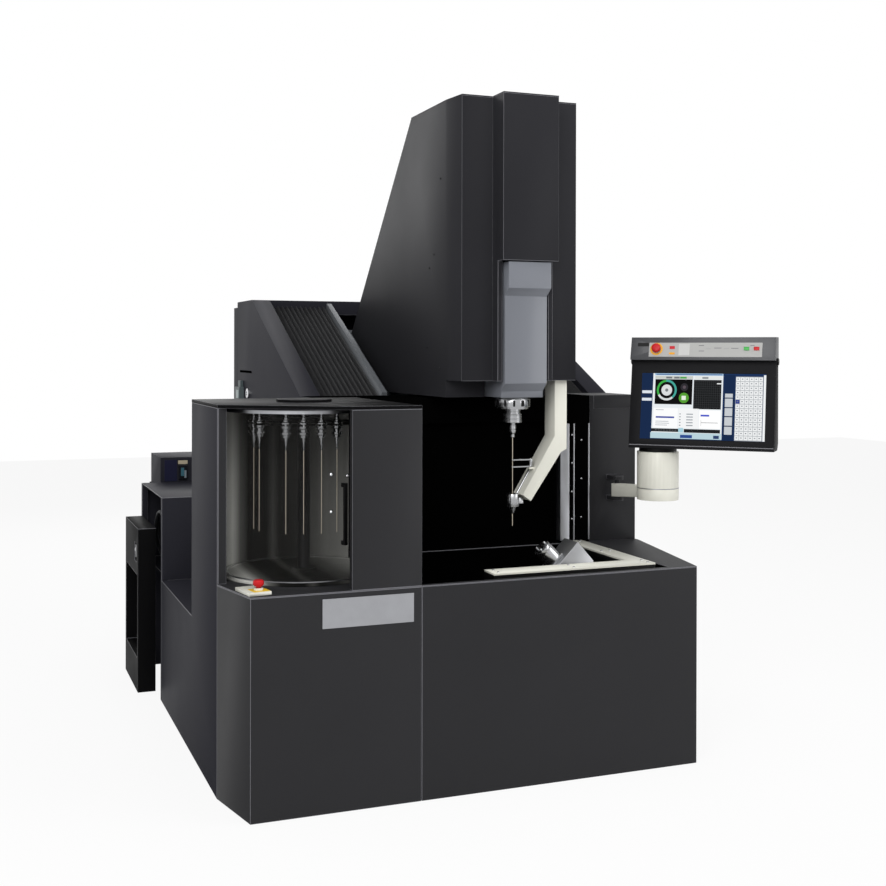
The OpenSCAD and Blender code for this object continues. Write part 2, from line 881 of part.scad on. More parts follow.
module rear_cabinet() {
    x0 = rear_box_x0;
    body_back = rear_box_y1 - door_t - run_gap;
    placed() color(side_color) {
        difference() {
            block([x0, rear_box_y0, 0], [box_x1, body_back, rear_box_h]);
            block([x0 + sheet_t, rear_box_y0 + sheet_t, sheet_t],
                [box_x1 - sheet_t, body_back + over, rear_box_h - sheet_t]);
        }
        for (z = hinge_z) {
            translate([x0 - hinge_r - over, body_back, z]) {
                cylinder(r = hinge_r, h = hinge_h, $fn = small_fn);
                cylinder(r = hinge_r / 2, h = 2 * hinge_h, $fn = small_fn);
            }
            block([x0 - hinge_r - over, body_back - hinge_r, z],
                [x0 + over, body_back - hinge_r / 2, z + hinge_h]);
        }
    }
}

module cabinet_door() {
    y0 = rear_box_y1 - door_t;
    grip_w = 24;
    grip_h = 120;
    placed() color(front_color) difference() {
        union() {
            block([rear_box_x0, y0, foot_pad], [box_x1, rear_box_y1, rear_box_h]);
            for (z = hinge_z) {
                translate([rear_box_x0 - hinge_r - over, y0 - run_gap, z + hinge_h + run_gap])
                    cylinder(r = hinge_r, h = hinge_h, $fn = small_fn);
                block([rear_box_x0 - hinge_r - over, y0 + hinge_r / 4, z + hinge_h + run_gap],
                    [rear_box_x0 + over, y0 + hinge_r, z + 2 * hinge_h + run_gap]);
            }
        }
        for (z = hinge_z) translate([rear_box_x0 - hinge_r - over, y0 - run_gap, z])
            cylinder(r = hinge_r / 2 + fit_gap, h = 2 * hinge_h + over, $fn = small_fn);
        block([box_x1 - 3 * grip_w, rear_box_y1 - door_t / 2, rear_box_h / 2],
            [box_x1 - 2 * grip_w, rear_box_y1 + over, rear_box_h / 2 + grip_h]);
        for (i = [0:louvre_count - 1])
            block([rear_box_x0 + 2 * grip_w, y0 - over, rear_box_h / 6 + i * louvre_pitch / 2],
                [box_x1 - 4 * grip_w, rear_box_y1 + over, rear_box_h / 6 + i * louvre_pitch / 2
                    + louvre_h / 2]);
    }
}

module x_slideway() {
    motor_half = 50;
    motor_l = 80;
    block_l = 60;
    placed() color(steel_color) on_slope() {
        for (s = rail_s)
            block([rear_bed_x0, s - rail_w / 2, -bed_n], [rear_bed_x1, s + rail_w / 2, -rail_n]);
        rod_x([rear_bed_x0, screw_s, -screw_n], screw_r, rear_bed_x1 - rear_bed_x0);
        for (x = [rear_bed_x0, rear_bed_x1 - block_l])
            block([x, screw_s - motor_half, -bed_n],
                [x + block_l, screw_s + motor_half, -plate_n0 - over]);
        block([rear_bed_x1, screw_s - motor_half, -screw_n - motor_half],
            [rear_bed_x1 + motor_l, screw_s + motor_half, -screw_n + motor_half]);
    }
}

// A pleated sheet between x0 and x1, its folds running up the slope
module bellows(x0, x1) {
    folds = 24;
    pleat_t = 4;
    step = (x1 - x0) / folds;
    top = [for (i = [0:folds]) [x0 + i * step, i % 2 == 0 ? -pleat_low : -pleat_n1]];
    low = [for (i = [folds:-1:0]) [x0 + i * step, (i % 2 == 0 ? -pleat_low : -pleat_n1) - pleat_t]];
    on_slope() along_y(pleat_t, slope_len - 2 * pleat_t - (pleat_low + pleat_t) * tan(slope_a))
        polygon(concat(top, low));
}

module left_bellows() {
    placed() color(black_color) bellows(cheek_x + run_gap, frame_x0 - run_gap);
}

module right_bellows() {
    placed() color(black_color) bellows(frame_x1 + run_gap, cheek_x1 - run_gap);
}

module saddle() {
    carriage_x = [frame_x0 + frame_t, frame_x1 - frame_t - 2 * carriage_l];
    nut_half = 40;
    wedge_s = (wedge_y1 - slope_y) / cos(slope_a) - plate_n1 * tan(slope_a);
    wedge = [slope_pt(plate_s0, -plate_n1 - over), slope_pt(wedge_s, -plate_n1 - over),
        [wedge_y1, saddle_top], [wedge_y0, saddle_top], [wedge_y0, saddle_top - wedge_t]];
    placed() color(cast_color) {
        difference() {
            union() {
                on_slope() {
                    for (x = [frame_x0, frame_x1 - frame_t])
                        block([x, plate_s0, -plate_n0], [x + frame_t, plate_s1, 0]);
                    block([frame_x0 + frame_t, plate_s0, -plate_n0],
                        [frame_x1 - frame_t, plate_s1, -plate_n1]);
                    for (s = rail_s, x = carriage_x)
                        block([x, s - carriage_w / 2, -bed_n + over],
                            [x + 2 * carriage_l, s + carriage_w / 2, -plate_n0]);
                    block([axis_x - carriage_l, screw_s - nut_half, -bed_n + over],
                        [axis_x + carriage_l, screw_s + nut_half, -plate_n0]);
                }
                along_x(axis_x - wedge_w / 2, wedge_w) polygon(wedge);
            }
            on_slope() {
                for (s = rail_s)
                    block([frame_x0, s - rail_w / 2 - run_gap, -bed_n - over],
                        [frame_x1, s + rail_w / 2 + run_gap, -rail_n + run_gap]);
                rod_x([frame_x0, screw_s, -screw_n], screw_r + run_gap, frame_x1 - frame_x0);
            }
        }
    }
}

module y_slideway() {
    placed() color(steel_color) {
        for (side = [-1, 1])
            translate([axis_x + side * y_rail_off - y_rail_w / 2, wedge_y0, saddle_top])
                cube([y_rail_w, wedge_y1 - wedge_y0, y_rail_h]);
        rod_y([axis_x, wedge_y0, y_screw_z], y_screw_r, wedge_y1 - wedge_y0);
        for (y = [wedge_y0, wedge_y1 - y_block_w / 2])
            block([axis_x - y_block_w / 2, y, saddle_top],
                [axis_x + y_block_w / 2, y + y_block_w / 2, y_screw_z + y_screw_r + over]);
    }
}

module column_casting() {
    gusset = [[wall_y + wall_t - over, ram_low + over], [ram_back, ram_low + ram_t - over],
        [wall_y + wall_t - over, wall_top - wall_t]];
    gusset_w = 56;
    low = saddle_top + over;
    placed() color(cast_color) difference() {
        union() {
            block([axis_x - wall_w / 2, wall_y, wall_low],
                [axis_x + wall_w / 2, wall_y + wall_t, wall_top]);
            block([axis_x, wall_y, pad_z[0]], [pad_x1, wall_y + wall_t, pad_z[1]]);
            block([axis_x - ram_w / 2, wall_y, ram_low],
                [axis_x + ram_w / 2, ram_back, ram_low + ram_t]);
            for (side = [-1, 0, 1])
                along_x(axis_x + side * (ram_w - gusset_w) / 2 - gusset_w / 2, gusset_w)
                    polygon(gusset);
            for (side = [-1, 1], y = y_carriages)
                block([axis_x + side * y_rail_off - carriage_w / 2, y, low],
                    [axis_x + side * y_rail_off + carriage_w / 2, y + carriage_l, ram_low + over]);
            block([axis_x - y_block_w / 2, nut_y[0], low],
                [axis_x + y_block_w / 2, nut_y[1], ram_low + over]);
            for (z = bracket_z)
                block([left_col_x + sheet_t, wall_y + wall_t / 3, z],
                    [right_col_x - sheet_t, wall_y + wall_t * 2 / 3, z + ram_t]);
        }
        for (side = [-1, 1])
            translate([axis_x + side * y_rail_off - y_rail_w / 2 - run_gap, wall_y + wall_t, wall_low])
                cube([y_rail_w + 2 * run_gap, ram_back - wall_y, saddle_top + y_rail_h
                    + run_gap - wall_low]);
        rod_y([axis_x, wall_y + wall_t + over, y_screw_z], y_screw_r + run_gap, ram_back - wall_y);
    }
}

// The side of the column, its chamfer and its skirt; the right one is its mirror
module column_side() {
    x = left_col_x;
    foot_y = slope_y + (skirt_low - roof_z + column_edge_n / cos(slope_a)) / tan(slope_a);
    outline = [[skirt_y, skirt_low], [foot_y, skirt_low], column_heel,
        [column_back_y, column_top - sheet_t],
        [skirt_y, column_top - sheet_t]];
    along_x(x, sheet_t) polygon(outline);
    chamfer_share = 1 - sheet_t / chamfer_d;
    sheet_run([[x, skirt_y], [x + chamfer_in * chamfer_share, column_y + sheet_t]], column_low,
        column_top - sheet_t);
    block([x, skirt_y, skirt_low], [axis_x - skirt_in, skirt_y + sheet_t, column_low]);
}

module column_left_cover() {
    placed() color(side_color) column_side();
}

module column_right_cover() {
    placed() color(side_color) translate([2 * axis_x, 0, 0]) mirror([1, 0, 0]) column_side();
}

// The left half of the column front below the top of the head's pocket
module pocket_side() {
    run = [[left_col_x + chamfer_in, column_y], [axis_x - panel_w / 2, column_y],
        [axis_x - panel_w / 2, column_y - pocket_out], [axis_x - pocket_half, column_y - pocket_out],
        [axis_x - pocket_half, column_y + pocket_back]];
    sheet_run(run, column_low, pocket_top_z);
}

module column_front_cover() {
    half = panel_w / 2;
    x0 = left_col_x + chamfer_in;
    x1 = right_col_x - chamfer_in;
    y1 = column_y - panel_out;
    run = [[x0, column_y], [axis_x - half, column_y], [axis_x - half, y1], [axis_x + half, y1],
        [axis_x + half, column_y], [x1, column_y]];
    placed() color(front_color) {
        sheet_run(run, pocket_top_z, column_top - sheet_t);
        pocket_side();
        translate([2 * axis_x, 0, 0]) mirror([1, 0, 0]) pocket_side();
        block([axis_x - half, y1, pocket_top_z],
            [axis_x + half, column_y + pocket_back, pocket_top_z + sheet_t]);
    }
}

module column_rear_cover() {
    half = panel_w / 2;
    y1 = column_y - panel_out;
    x0 = left_col_x;
    x1 = right_col_x;
    outline = [[x0, column_back_y], [x0, skirt_y], [x0 + chamfer_in, column_y],
        [axis_x - half, column_y], [axis_x - half, y1], [axis_x + half, y1],
        [axis_x + half, column_y], [x1 - chamfer_in, column_y], [x1, skirt_y], [x1, column_back_y]];
    run = [column_heel, [column_back_y, column_top - sheet_t]];
    placed() color(side_color) {
        translate([0, 0, column_top - sheet_t]) linear_extrude(sheet_t) polygon(outline);
        side_run(run, x0 + sheet_t, x1 - x0 - 2 * sheet_t);
    }
}

module z_slideway() {
    foot_z = wall_low + z_rail_w;
    block_h = 24;
    placed() color(steel_color) {
        for (side = [-1, 1])
            translate([axis_x + side * z_rail_off - z_rail_w / 2, wall_y - z_rail_t, wall_low])
                cube([z_rail_w, z_rail_t, slide_high + 2 * z_rail_w - wall_low]);
        translate([w_rail_x - w_rail_w / 2, wall_y - z_rail_t, pad_z[0]])
            cube([w_rail_w, z_rail_t, pad_z[1] - pad_z[0]]);
        translate([axis_x, z_screw_y, foot_z])
            cylinder(r = z_screw_r, h = z_motor_z[0] - foot_z, $fn = small_fn);
        block([axis_x - block_half / 2, z_screw_y - block_h / 2, foot_z],
            [axis_x + block_half / 2, wall_y, foot_z + block_h]);
        block([axis_x - z_motor_half, wall_y - 2 * z_motor_half, z_motor_z[0]],
            [axis_x + z_motor_half, wall_y, z_motor_z[1]]);
    }
}

module head_cover() {
    z0 = head_low;
    outline = [[head_back_y, z0], [head_back_y, z0 + head_chin_h + head_lip_h],
        [head_rear_top_y, z0 + head_chin_h + head_lip_h * 2], [head_rear_top_y, head_top],
        [head_brow_y, head_top], [head_brow_y, z0 + head_brow_h],
        [head_chest_y, z0 + head_chest_h], [head_chest_y, z0 + head_chin_h],
        [head_lip_y, z0 + head_lip_h], [head_lip_y, z0]];
    x0 = axis_x - head_w / 2;
    placed() color(head_color) difference() {
        union() {
            side_ring(outline, x0, head_w, head_wall);
            for (x = [x0, x0 + head_w - head_wall]) along_x(x, head_wall) polygon(outline);
        }
        block([x0 + head_wall, head_rear_top_y - head_wall - over, z0 + head_wall],
            [x0 + head_w - head_wall, head_back_y + over, head_top - head_wall]);
        translate([axis_x, spindle_y, z0 - over])
            cylinder(r = barrel_r + run_gap, h = head_wall + 2 * over, $fn = round_fn);
    }
}

module spindle_housing() {
    placed() color(steel_color) difference() {
        union() {
            translate([axis_x, spindle_y, head_low - flange_h])
                cylinder(r = flange_dia / 2 - flange_lip, h = flange_h, $fn = round_fn);
            translate([axis_x, spindle_y, head_low - flange_h + flange_lip])
                cylinder(r = flange_dia / 2, h = flange_h - 2 * flange_lip, $fn = round_fn);
            translate([axis_x, spindle_y, head_low - over])
                cylinder(r = barrel_r, h = barrel_h, $fn = round_fn);
            block([axis_x - block_half, spindle_y, slide_low],
                [axis_x + block_half, wall_y - 2 * slide_t, slide_high - barrel_r]);
            block([axis_x - slide_half, wall_y - 2 * slide_t, slide_low],
                [axis_x + slide_half, wall_y - z_rail_t - run_gap, slide_high]);
            for (side = [-1, 1], z = [slide_low + flange_h, slide_high - flange_h - carriage_l])
                translate([axis_x + side * z_rail_off - z_rail_w, wall_y - slide_t, z])
                    cube([2 * z_rail_w, slide_t - over, carriage_l]);
            block([axis_x - z_nut_half, wall_y - slide_t, nut_z[0]],
                [axis_x + z_nut_half, wall_y - over, nut_z[1]]);
        }
        translate([axis_x, spindle_y, head_low - flange_h - over])
            cylinder(r = nose_bore_r + fit_gap, h = shaft_h + 2 * over, $fn = round_fn);
        for (side = [-1, 1])
            translate([axis_x + side * z_rail_off - z_rail_w / 2 - run_gap,
                wall_y - z_rail_t - run_gap, slide_low])
                cube([z_rail_w + 2 * run_gap, z_rail_t + over, slide_high - slide_low]);
        translate([axis_x, z_screw_y, slide_low - over])
            cylinder(r = z_screw_r + run_gap, h = slide_high - slide_low + 2 * over, $fn = small_fn);
    }
}

module spindle_nose() {
    top = head_low - flange_h - run_gap;
    placed() color(steel_color) translate([axis_x, spindle_y, 0]) {
        translate([0, 0, top - nose_h]) cylinder(r = nose_dia / 2, h = nose_h * 2 / 3, $fn = round_fn);
        translate([0, 0, top - nose_h]) cylinder(r = nose_dia * neck_share, h = nose_h, $fn = round_fn);
        translate([0, 0, top - over]) cylinder(r = nose_bore_r, h = shaft_h, $fn = round_fn);
    }
}

collet_top = head_low - flange_h - run_gap - nose_h;

module collet_chuck() {
    r = collet_dia / 2;
    placed() color(steel_color) translate([axis_x, spindle_y, collet_top - collet_h]) {
        body_low = collet_h * (1 - collet_body_share);
        tip_h = collet_h * collet_tip_share;
        translate([0, 0, body_low]) cylinder(r = r, h = collet_h - body_low, $fn = round_fn);
        translate([0, 0, tip_h]) cylinder(r1 = r * taper_share, r2 = r, h = body_low - tip_h,
            $fn = round_fn);
        cylinder(r = r * taper_share, h = tip_h, $fn = round_fn);
    }
}

module electrode() {
    placed() color(steel_color) translate([axis_x, spindle_y, collet_top - collet_h - electrode_l])
        cylinder(r = electrode_dia / 2, h = electrode_l, $fn = small_fn);
}

module guide_arm() {
    outline = [arm_elbow_in, arm_tip_high, arm_tip_low, arm_knee, arm_elbow_out, [arm_x1, arm_top],
        [arm_x0, arm_top]];
    pin_h = steady_z[1] + finger_t - steady_z[0];
    placed() color(ivory_color) {
        along_y(arm_y, arm_d) polygon(outline);
        block([steady_x - steady_r, spindle_y - steady_r, steady_z[0] - run_gap - steady_r],
            [steady_x + 4 * steady_r, spindle_y + steady_r, steady_z[0] - run_gap]);
        translate([steady_x, spindle_y, steady_z[0] - run_gap - over])
            cylinder(r = steady_r / 3, h = pin_h + run_gap + 2 * over, $fn = small_fn);
        difference() {
            block([w_rail_x - carriage_w / 3, arm_y + arm_d - over, arm_block_z[0]],
                [w_rail_x + carriage_w / 3, wall_y - over, arm_block_z[1]]);
            block([w_rail_x - w_rail_w / 2 - run_gap, wall_y - z_rail_t - run_gap,
                arm_block_z[0] - over],
                [w_rail_x + w_rail_w / 2 + run_gap, wall_y + over, arm_block_z[1] + over]);
        }
    }
}

module die_guide() {
    y = spindle_y + tube_back;
    run = [tube_top[0] - tube_low[0], tube_top[1] - tube_low[1]];
    placed() color(steel_color) difference() {
        union() {
            translate([axis_x, spindle_y, guide_z0])
                cylinder(r = guide_r, h = guide_z1 - guide_z0, $fn = round_fn);
            translate([axis_x, spindle_y, guide_z0 - guide_nose])
                cylinder(r1 = guide_r / 4, r2 = guide_r * taper_share, h = guide_nose, $fn = round_fn);
            block([axis_x + guide_r / 2, spindle_y - link_h / 2, guide_z0 + link_h / 2],
                [arm_tip_high[0] + link_h / 2, spindle_y + link_h / 2 + tube_back, guide_z0
                    + link_h * 3 / 2]);
            translate([tube_low[0], y, tube_low[1]]) rotate([0, atan2(run[0], run[1]), 0])
                cylinder(r = tube_r, h = norm(run), $fn = small_fn);
        }
        translate([axis_x, spindle_y, guide_z0 - guide_nose - over])
            cylinder(r = guide_bore_r, h = guide_nose + guide_z1 - guide_z0 + 2 * over, $fn = small_fn);
        along_y(arm_y - over, arm_d + 2 * over)
            polygon([arm_elbow_in, arm_tip_high, arm_tip_low, arm_knee]);
    }
}

module electrode_steady() {
    placed() color(steel_color) difference() {
        union() {
            for (z = steady_z)
                block([axis_x - finger_w / 2, spindle_y - finger_back, z],
                    [steady_x, spindle_y + finger_w - finger_back, z + finger_t]);
            translate([steady_x, spindle_y, steady_z[0]])
                cylinder(r = steady_r, h = steady_z[1] - steady_z[0] + finger_t, $fn = small_fn);
        }
        hull() for (y = [spindle_y, spindle_y + finger_w * 2])
            translate([axis_x, y, steady_z[0] - over])
                cylinder(r = notch_r, h = steady_z[1], $fn = small_fn);
        translate([steady_x, spindle_y, steady_z[0] - over])
            cylinder(r = steady_r / 3 + fit_gap, h = steady_z[1] - steady_z[0] + finger_t
                + 2 * over, $fn = small_fn);
    }
}

module carousel_disc() {
    top = tower_h - ring_h - run_gap;
    placed() color(steel_color) translate([mag_x, mag_y, 0]) {
        translate([0, 0, base_h + pan_t * 3 + run_gap])
            cylinder(r = shaft_r, h = top - base_h - pan_t * 3 - run_gap, $fn = small_fn);
        translate([0, 0, disc_z]) {
            cylinder(r = hub_r, h = disc_t * 3, $fn = round_fn);
            difference() {
                cylinder(r = disc_r, h = disc_t, $fn = round_fn);
                translate([0, 0, -over]) cylinder(r = disc_r - 2 * spoke_w, h = disc_t + 2 * over,
                    $fn = round_fn);
            }
            for (i = [0:2]) rotate([0, 0, i * 120 + view_a])
                translate([0, -spoke_w / 2, 0]) cube([disc_r - spoke_w, spoke_w, disc_t]);
            for (i = [0:stations - 1], side = [-1, 1]) rotate([0, 0, i * 360 / stations + view_a])
                translate([disc_r - spoke_w / 2, side * (fork_gap + fork_w) / 2 - fork_w / 2, 0])
                    cube([fork_l, fork_w, disc_t]);
        }
    }
}

// Places its children at the loaded stations
module at_loaded() {
    for (i = loaded_places) translate([mag_x, mag_y, disc_z])
        rotate([0, 0, i * 360 / stations + view_a])
        translate([pitch_r, 0, 0]) children();
}

module tool_holders() {
    body_low = -holder_body_h;
    neck_h = holder_top * holder_neck_share;
    placed() color(steel_color) at_loaded() {
        cylinder(r = holder_r, h = neck_h, $fn = small_fn);
        translate([0, 0, neck_h])
            cylinder(r1 = holder_r, r2 = holder_r * taper_share, h = holder_top - neck_h, $fn = small_fn);
        translate([0, 0, disc_t]) cylinder(r = holder_flange_r, h = holder_flange_t, $fn = small_fn);
        translate([0, 0, -holder_flange_t])
            cylinder(r = holder_flange_r, h = holder_flange_t, $fn = small_fn);
        translate([0, 0, body_low]) cylinder(r = holder_body_r, h = holder_body_h, $fn = small_fn);
        translate([0, 0, body_low]) cylinder(r = holder_collar_r, h = holder_collar_h, $fn = small_fn);
        translate([0, 0, body_low - holder_nose_h])
            cylinder(r1 = holder_nose_r / 2, r2 = holder_nose_r, h = holder_nose_h, $fn = small_fn);
    }
}

module stored_electrodes() {
    placed() color("#b08d57") at_loaded()
        translate([0, 0, -holder_body_h - holder_nose_h - stored_l])
            cylinder(r = stored_r, h = stored_l, $fn = small_fn);
}

module magazine_door() {
    placed() color(glass_color) translate([mag_x, mag_y, door_z0]) rotate([0, 0, door_a0])
        rotate_extrude(angle = door_sweep, $fn = round_fn)
            translate([glass_r - glass_t, 0]) square([glass_t, door_z1 - door_z0]);
}

module door_handle() {
    placed() color(black_color) translate([mag_x, mag_y, 0]) rotate([0, 0, handle_a]) {
        block([glass_r + handle_out - handle_t, -handle_w / 2, handle_z[0]],
            [glass_r + handle_out, handle_w / 2, handle_z[1]]);
        for (z = [handle_z[0], handle_z[1] - handle_w])
            block([glass_r, -handle_w / 2, z],
                [glass_r + handle_out - over, handle_w / 2, z + handle_w]);
    }
}

module drop_tank() {
    run = [[tank_x0, tank_back], [tank_x0, tank_y], [tank_x1, tank_y], [tank_x1, tank_back]];
    placed() color(black_color) translate([0, 0, tank_z0]) linear_extrude(tank_h)
        polygon(concat(run, run_side(run, tank_t)));
}

module rotary_bracket() {
    seat = [cos(unit_a), sin(unit_a)] * seat_l;
    outline = [bracket_peak - seat, [bracket_peak[0] - seat[0], pedestal_top],
        [bracket_x1, pedestal_top],
        [bracket_x1, bracket_shoulder], bracket_peak];
    placed() color(steel_color) along_y(unit_y - bracket_d / 2, bracket_d) polygon(outline);
}

// The rotary unit's own frame: Z out of the bracket's slanted seat
module on_seat() {
    translate([bracket_peak[0], unit_y, bracket_peak[1]]) rotate([0, -unit_a, 0])
        translate([-unit_s, 0, fit_gap]) children();
}

module rotary_unit() {
    motor_r = 22;
    motor_off = 58;
    placed() color(steel_color) on_seat() difference() {
        union() {
            block([-unit_r, -unit_r, 0], [unit_r, unit_r, unit_flange_t]);
            cylinder(r = unit_r, h = unit_l, $fn = round_fn);
            block([0, 0, 0], [motor_r, motor_off, unit_flange_t]);
            translate([motor_r / 2, motor_off, 0])
                cylinder(r = motor_r, h = unit_l * cap_share, $fn = small_fn);
        }
        translate([0, 0, unit_l - face_t])
            cylinder(r = spigot_r + fit_gap, h = face_t + over, $fn = small_fn);
    }
}

module faceplate() {
    placed() color(steel_color) on_seat() translate([0, 0, unit_l + run_gap]) {
        cylinder(r = unit_r, h = face_t, $fn = round_fn);
        translate([0, 0, -face_t + over]) cylinder(r = spigot_r, h = face_t, $fn = small_fn);
        for (i = [0:2]) rotate([0, 0, i * 120]) translate([unit_r * taper_share, 0, face_t - over])
            cylinder(r = jaw_r, h = 2 * jaw_r, $fn = small_fn);
    }
}

// The pendant's own frame: X along its width, Y towards its back
module at_pendant() {
    translate([post_x, post_y, 0]) rotate([0, 0, pendant_a]) children();
}

module pendant_arm() {
    cup_h = arm_cup_z[1] - arm_cup_z[0];
    placed() color(ivory_color) difference() {
        union() {
            hull() {
                translate([arm_root_x, pivot_post_y, arm_z[0]])
                    cylinder(r = arm_root_r, h = arm_z[1] - arm_z[0], $fn = small_fn);
                translate([post_x, post_y + post_dia / 2, arm_cup_z[0] + over])
                    cylinder(r = arm_half, h = cup_h - 2 * over, $fn = small_fn);
            }
            translate([post_x, post_y, arm_cup_z[0]])
                cylinder(r = post_dia / 2, h = cup_h, $fn = round_fn);
        }
        translate([post_x, post_y, arm_cup_z[0] + sheet_t])
            cylinder(r = pin_r + fit_gap, h = cup_h, $fn = small_fn);
        translate([arm_root_x, pivot_post_y, arm_z[0] - over])
            cylinder(r = arm_pin_r + fit_gap, h = cup_h * 2, $fn = small_fn);
    }
}

module pendant_post() {
    low = arm_cup_z[1] + run_gap;
    placed() color(ivory_color) translate([post_x, post_y, 0]) {
        translate([0, 0, low]) cylinder(r = post_dia / 2, h = post_z1 - low, $fn = round_fn);
        translate([0, 0, post_z1 - over])
            cylinder(r = collar_r, h = collar_z1 - post_z1 + over, $fn = round_fn);
        translate([0, 0, arm_cup_z[0] + sheet_t + run_gap])
            cylinder(r = pin_r, h = post_z1 - arm_cup_z[0] - sheet_t - run_gap - over, $fn = small_fn);
    }
}

module pendant_housing() {
    chin = 26;
    outline = [[-screen_low_y, housing_low], [housing_back - chin, housing_low],
        [housing_back, housing_low + chin],
        [housing_back, housing_top], [-screen_top_y, housing_top], [-screen_low_y, screen_foot_z]];
    placed() color(black_color) at_pendant() difference() {
        along_x(-pendant_left, pendant_left + pendant_right) polygon(outline);
        on_screen() block([screen_x[0], screen_v[0], -screen_t / 2],
            [screen_x[1], screen_v[1], screen_t]);
    }
}

// The housing's sloping face: X along the pendant, Y up the face, Z out of it
module on_screen() {
    lean = atan2(screen_low_y - screen_top_y, housing_top - screen_foot_z);
    translate([0, -screen_low_y, screen_foot_z]) rotate([90 - lean, 0, 0]) children();
}

module pendant_screen() {
    placed() color(black_color) at_pendant() on_screen()
        block([screen_x[0], screen_v[0], -screen_t / 2], [screen_x[1], screen_v[1], screen_t / 4]);
}

module pendant_console() {
    outline = [[-console_front_y, housing_top], [console_back, housing_top],
        [console_back, console_top],
        [-console_brow_y, console_top], [-console_front_y, housing_top + console_lip]];
    placed() color(cast_color) at_pendant() difference() {
        along_x(-pendant_left, pendant_left + pendant_right) polygon(outline);
        on_console() {
            translate([button_at[0], 0, 0])
                cylinder(r = pendant_estop_r / 2 + run_gap, h = 2 * console_lip,
                center = true, $fn = small_fn);
            for (i = [1, 2]) translate([button_at[i], 0, 0])
                cube([button_w + 2 * run_gap, button_h + 2 * run_gap, 2 * console_lip], center = true);
        }
    }
}

// The console's sloping face: X along the pendant, Y up the face, Z out of it
module on_console() {
    rise = console_top - housing_top - console_lip;
    lean = console_front_y - console_brow_y;
    height_share = (button_z - housing_top - console_lip) / rise;
    translate([0, -console_front_y + height_share * lean, button_z])
        rotate([90 - atan2(lean, rise), 0, 0]) children();
}

module pendant_estop_button() {
    placed() color(red_color) at_pendant() on_console() translate([button_at[0], 0, 0]) {
        translate([0, 0, button_travel - console_lip + over])
            cylinder(r = pendant_estop_r / 2, h = console_lip + button_travel, $fn = small_fn);
        translate([0, 0, 2 * button_travel])
            cylinder(r = pendant_estop_r, h = console_lip, $fn = small_fn);
        translate([0, 0, 2 * button_travel + console_lip])
            cylinder(r1 = pendant_estop_r, r2 = pendant_estop_r * cap_share, h = console_lip / 2,
                $fn = small_fn);
    }
}

// A square push button in its hole
module push_button(i) {
    placed() at_pendant() on_console() translate([button_at[i], 0, 0])
        translate([-button_w / 2, -button_h / 2, button_travel - console_lip + over])
            cube([button_w, button_h, console_lip - over - button_travel + button_out]);
}

module green_button() {
    color(green_color) push_button(1);
}

module red_button() {
    color(red_color) push_button(2);
}

bed_casting();
levelling_feet();
front_left_cover();
front_right_cover();
left_side_cover();
right_side_cover();
right_enclosure();
left_cheek_cover();
right_cheek_cover();
rear_cover();
deck_plate();
table_frame();
table_pedestal();
rear_wall();
seal_strips();
magazine_housing();
magazine_top_cover();
magazine_liner();
estop_plate();
side_box();
pump_cabinet();
rear_cabinet();
cabinet_door();
x_slideway();
left_bellows();
right_bellows();
saddle();
y_slideway();
column_casting();
column_left_cover();
column_right_cover();
column_front_cover();
column_rear_cover();
z_slideway();
head_cover();
spindle_housing();
spindle_nose();
collet_chuck();
electrode();
guide_arm();
die_guide();
electrode_steady();
carousel_disc();
tool_holders();
stored_electrodes();
magazine_door();
door_handle();
magazine_estop_button();
drop_tank();
rotary_bracket();
rotary_unit();
faceplate();
pendant_arm();
pendant_post();
pendant_housing();
pendant_screen();
pendant_console();
pendant_estop_button();
green_button();
red_button();
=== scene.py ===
"""Dresses the drilling machine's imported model: finishes, small parts, floor, light and camera.

Places are written in millimetres from the left front corner of the base, as in
the part's source, and Place turns them into the row frame in metres.
"""

import json
import logging
import math
from dataclasses import dataclass, field
from enum import Enum
from typing import Callable, Iterable, Sequence

import bpy
import numpy as np
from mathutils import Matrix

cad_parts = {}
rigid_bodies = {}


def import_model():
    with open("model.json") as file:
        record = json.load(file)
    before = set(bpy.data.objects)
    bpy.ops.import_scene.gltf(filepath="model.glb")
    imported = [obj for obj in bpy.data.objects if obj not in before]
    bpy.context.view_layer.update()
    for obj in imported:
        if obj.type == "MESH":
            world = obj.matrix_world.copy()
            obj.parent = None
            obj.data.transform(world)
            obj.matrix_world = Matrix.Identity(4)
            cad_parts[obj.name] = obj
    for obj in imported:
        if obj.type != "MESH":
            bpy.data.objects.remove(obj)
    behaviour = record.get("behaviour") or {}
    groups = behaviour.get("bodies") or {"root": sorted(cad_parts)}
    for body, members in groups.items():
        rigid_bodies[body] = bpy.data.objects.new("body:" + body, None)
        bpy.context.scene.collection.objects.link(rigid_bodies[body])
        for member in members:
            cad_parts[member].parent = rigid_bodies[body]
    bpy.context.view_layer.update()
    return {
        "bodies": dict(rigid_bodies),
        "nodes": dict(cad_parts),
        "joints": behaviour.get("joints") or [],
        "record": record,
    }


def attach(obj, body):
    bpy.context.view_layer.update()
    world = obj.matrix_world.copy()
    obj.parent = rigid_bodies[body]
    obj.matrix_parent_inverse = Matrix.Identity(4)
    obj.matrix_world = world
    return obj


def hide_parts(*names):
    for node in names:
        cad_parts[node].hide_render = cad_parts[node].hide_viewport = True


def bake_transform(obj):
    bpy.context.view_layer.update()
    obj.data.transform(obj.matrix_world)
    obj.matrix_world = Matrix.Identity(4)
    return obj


log = logging.getLogger("scene")

MM = 0.001
PLAN_CENTRE = (1040.170954, 1312.655470)
SHARP_DEGREES = 35.0
TINY = 1e-6
WELD_METRES = 0.00001
Colour = tuple[float, float, float]
Point = tuple[float, float, float]
Pair = tuple[float, float]
Box = tuple[Point, Point, str]
Coat = tuple[str, float, str, str]
WHITE: Colour = (1.0, 1.0, 1.0)


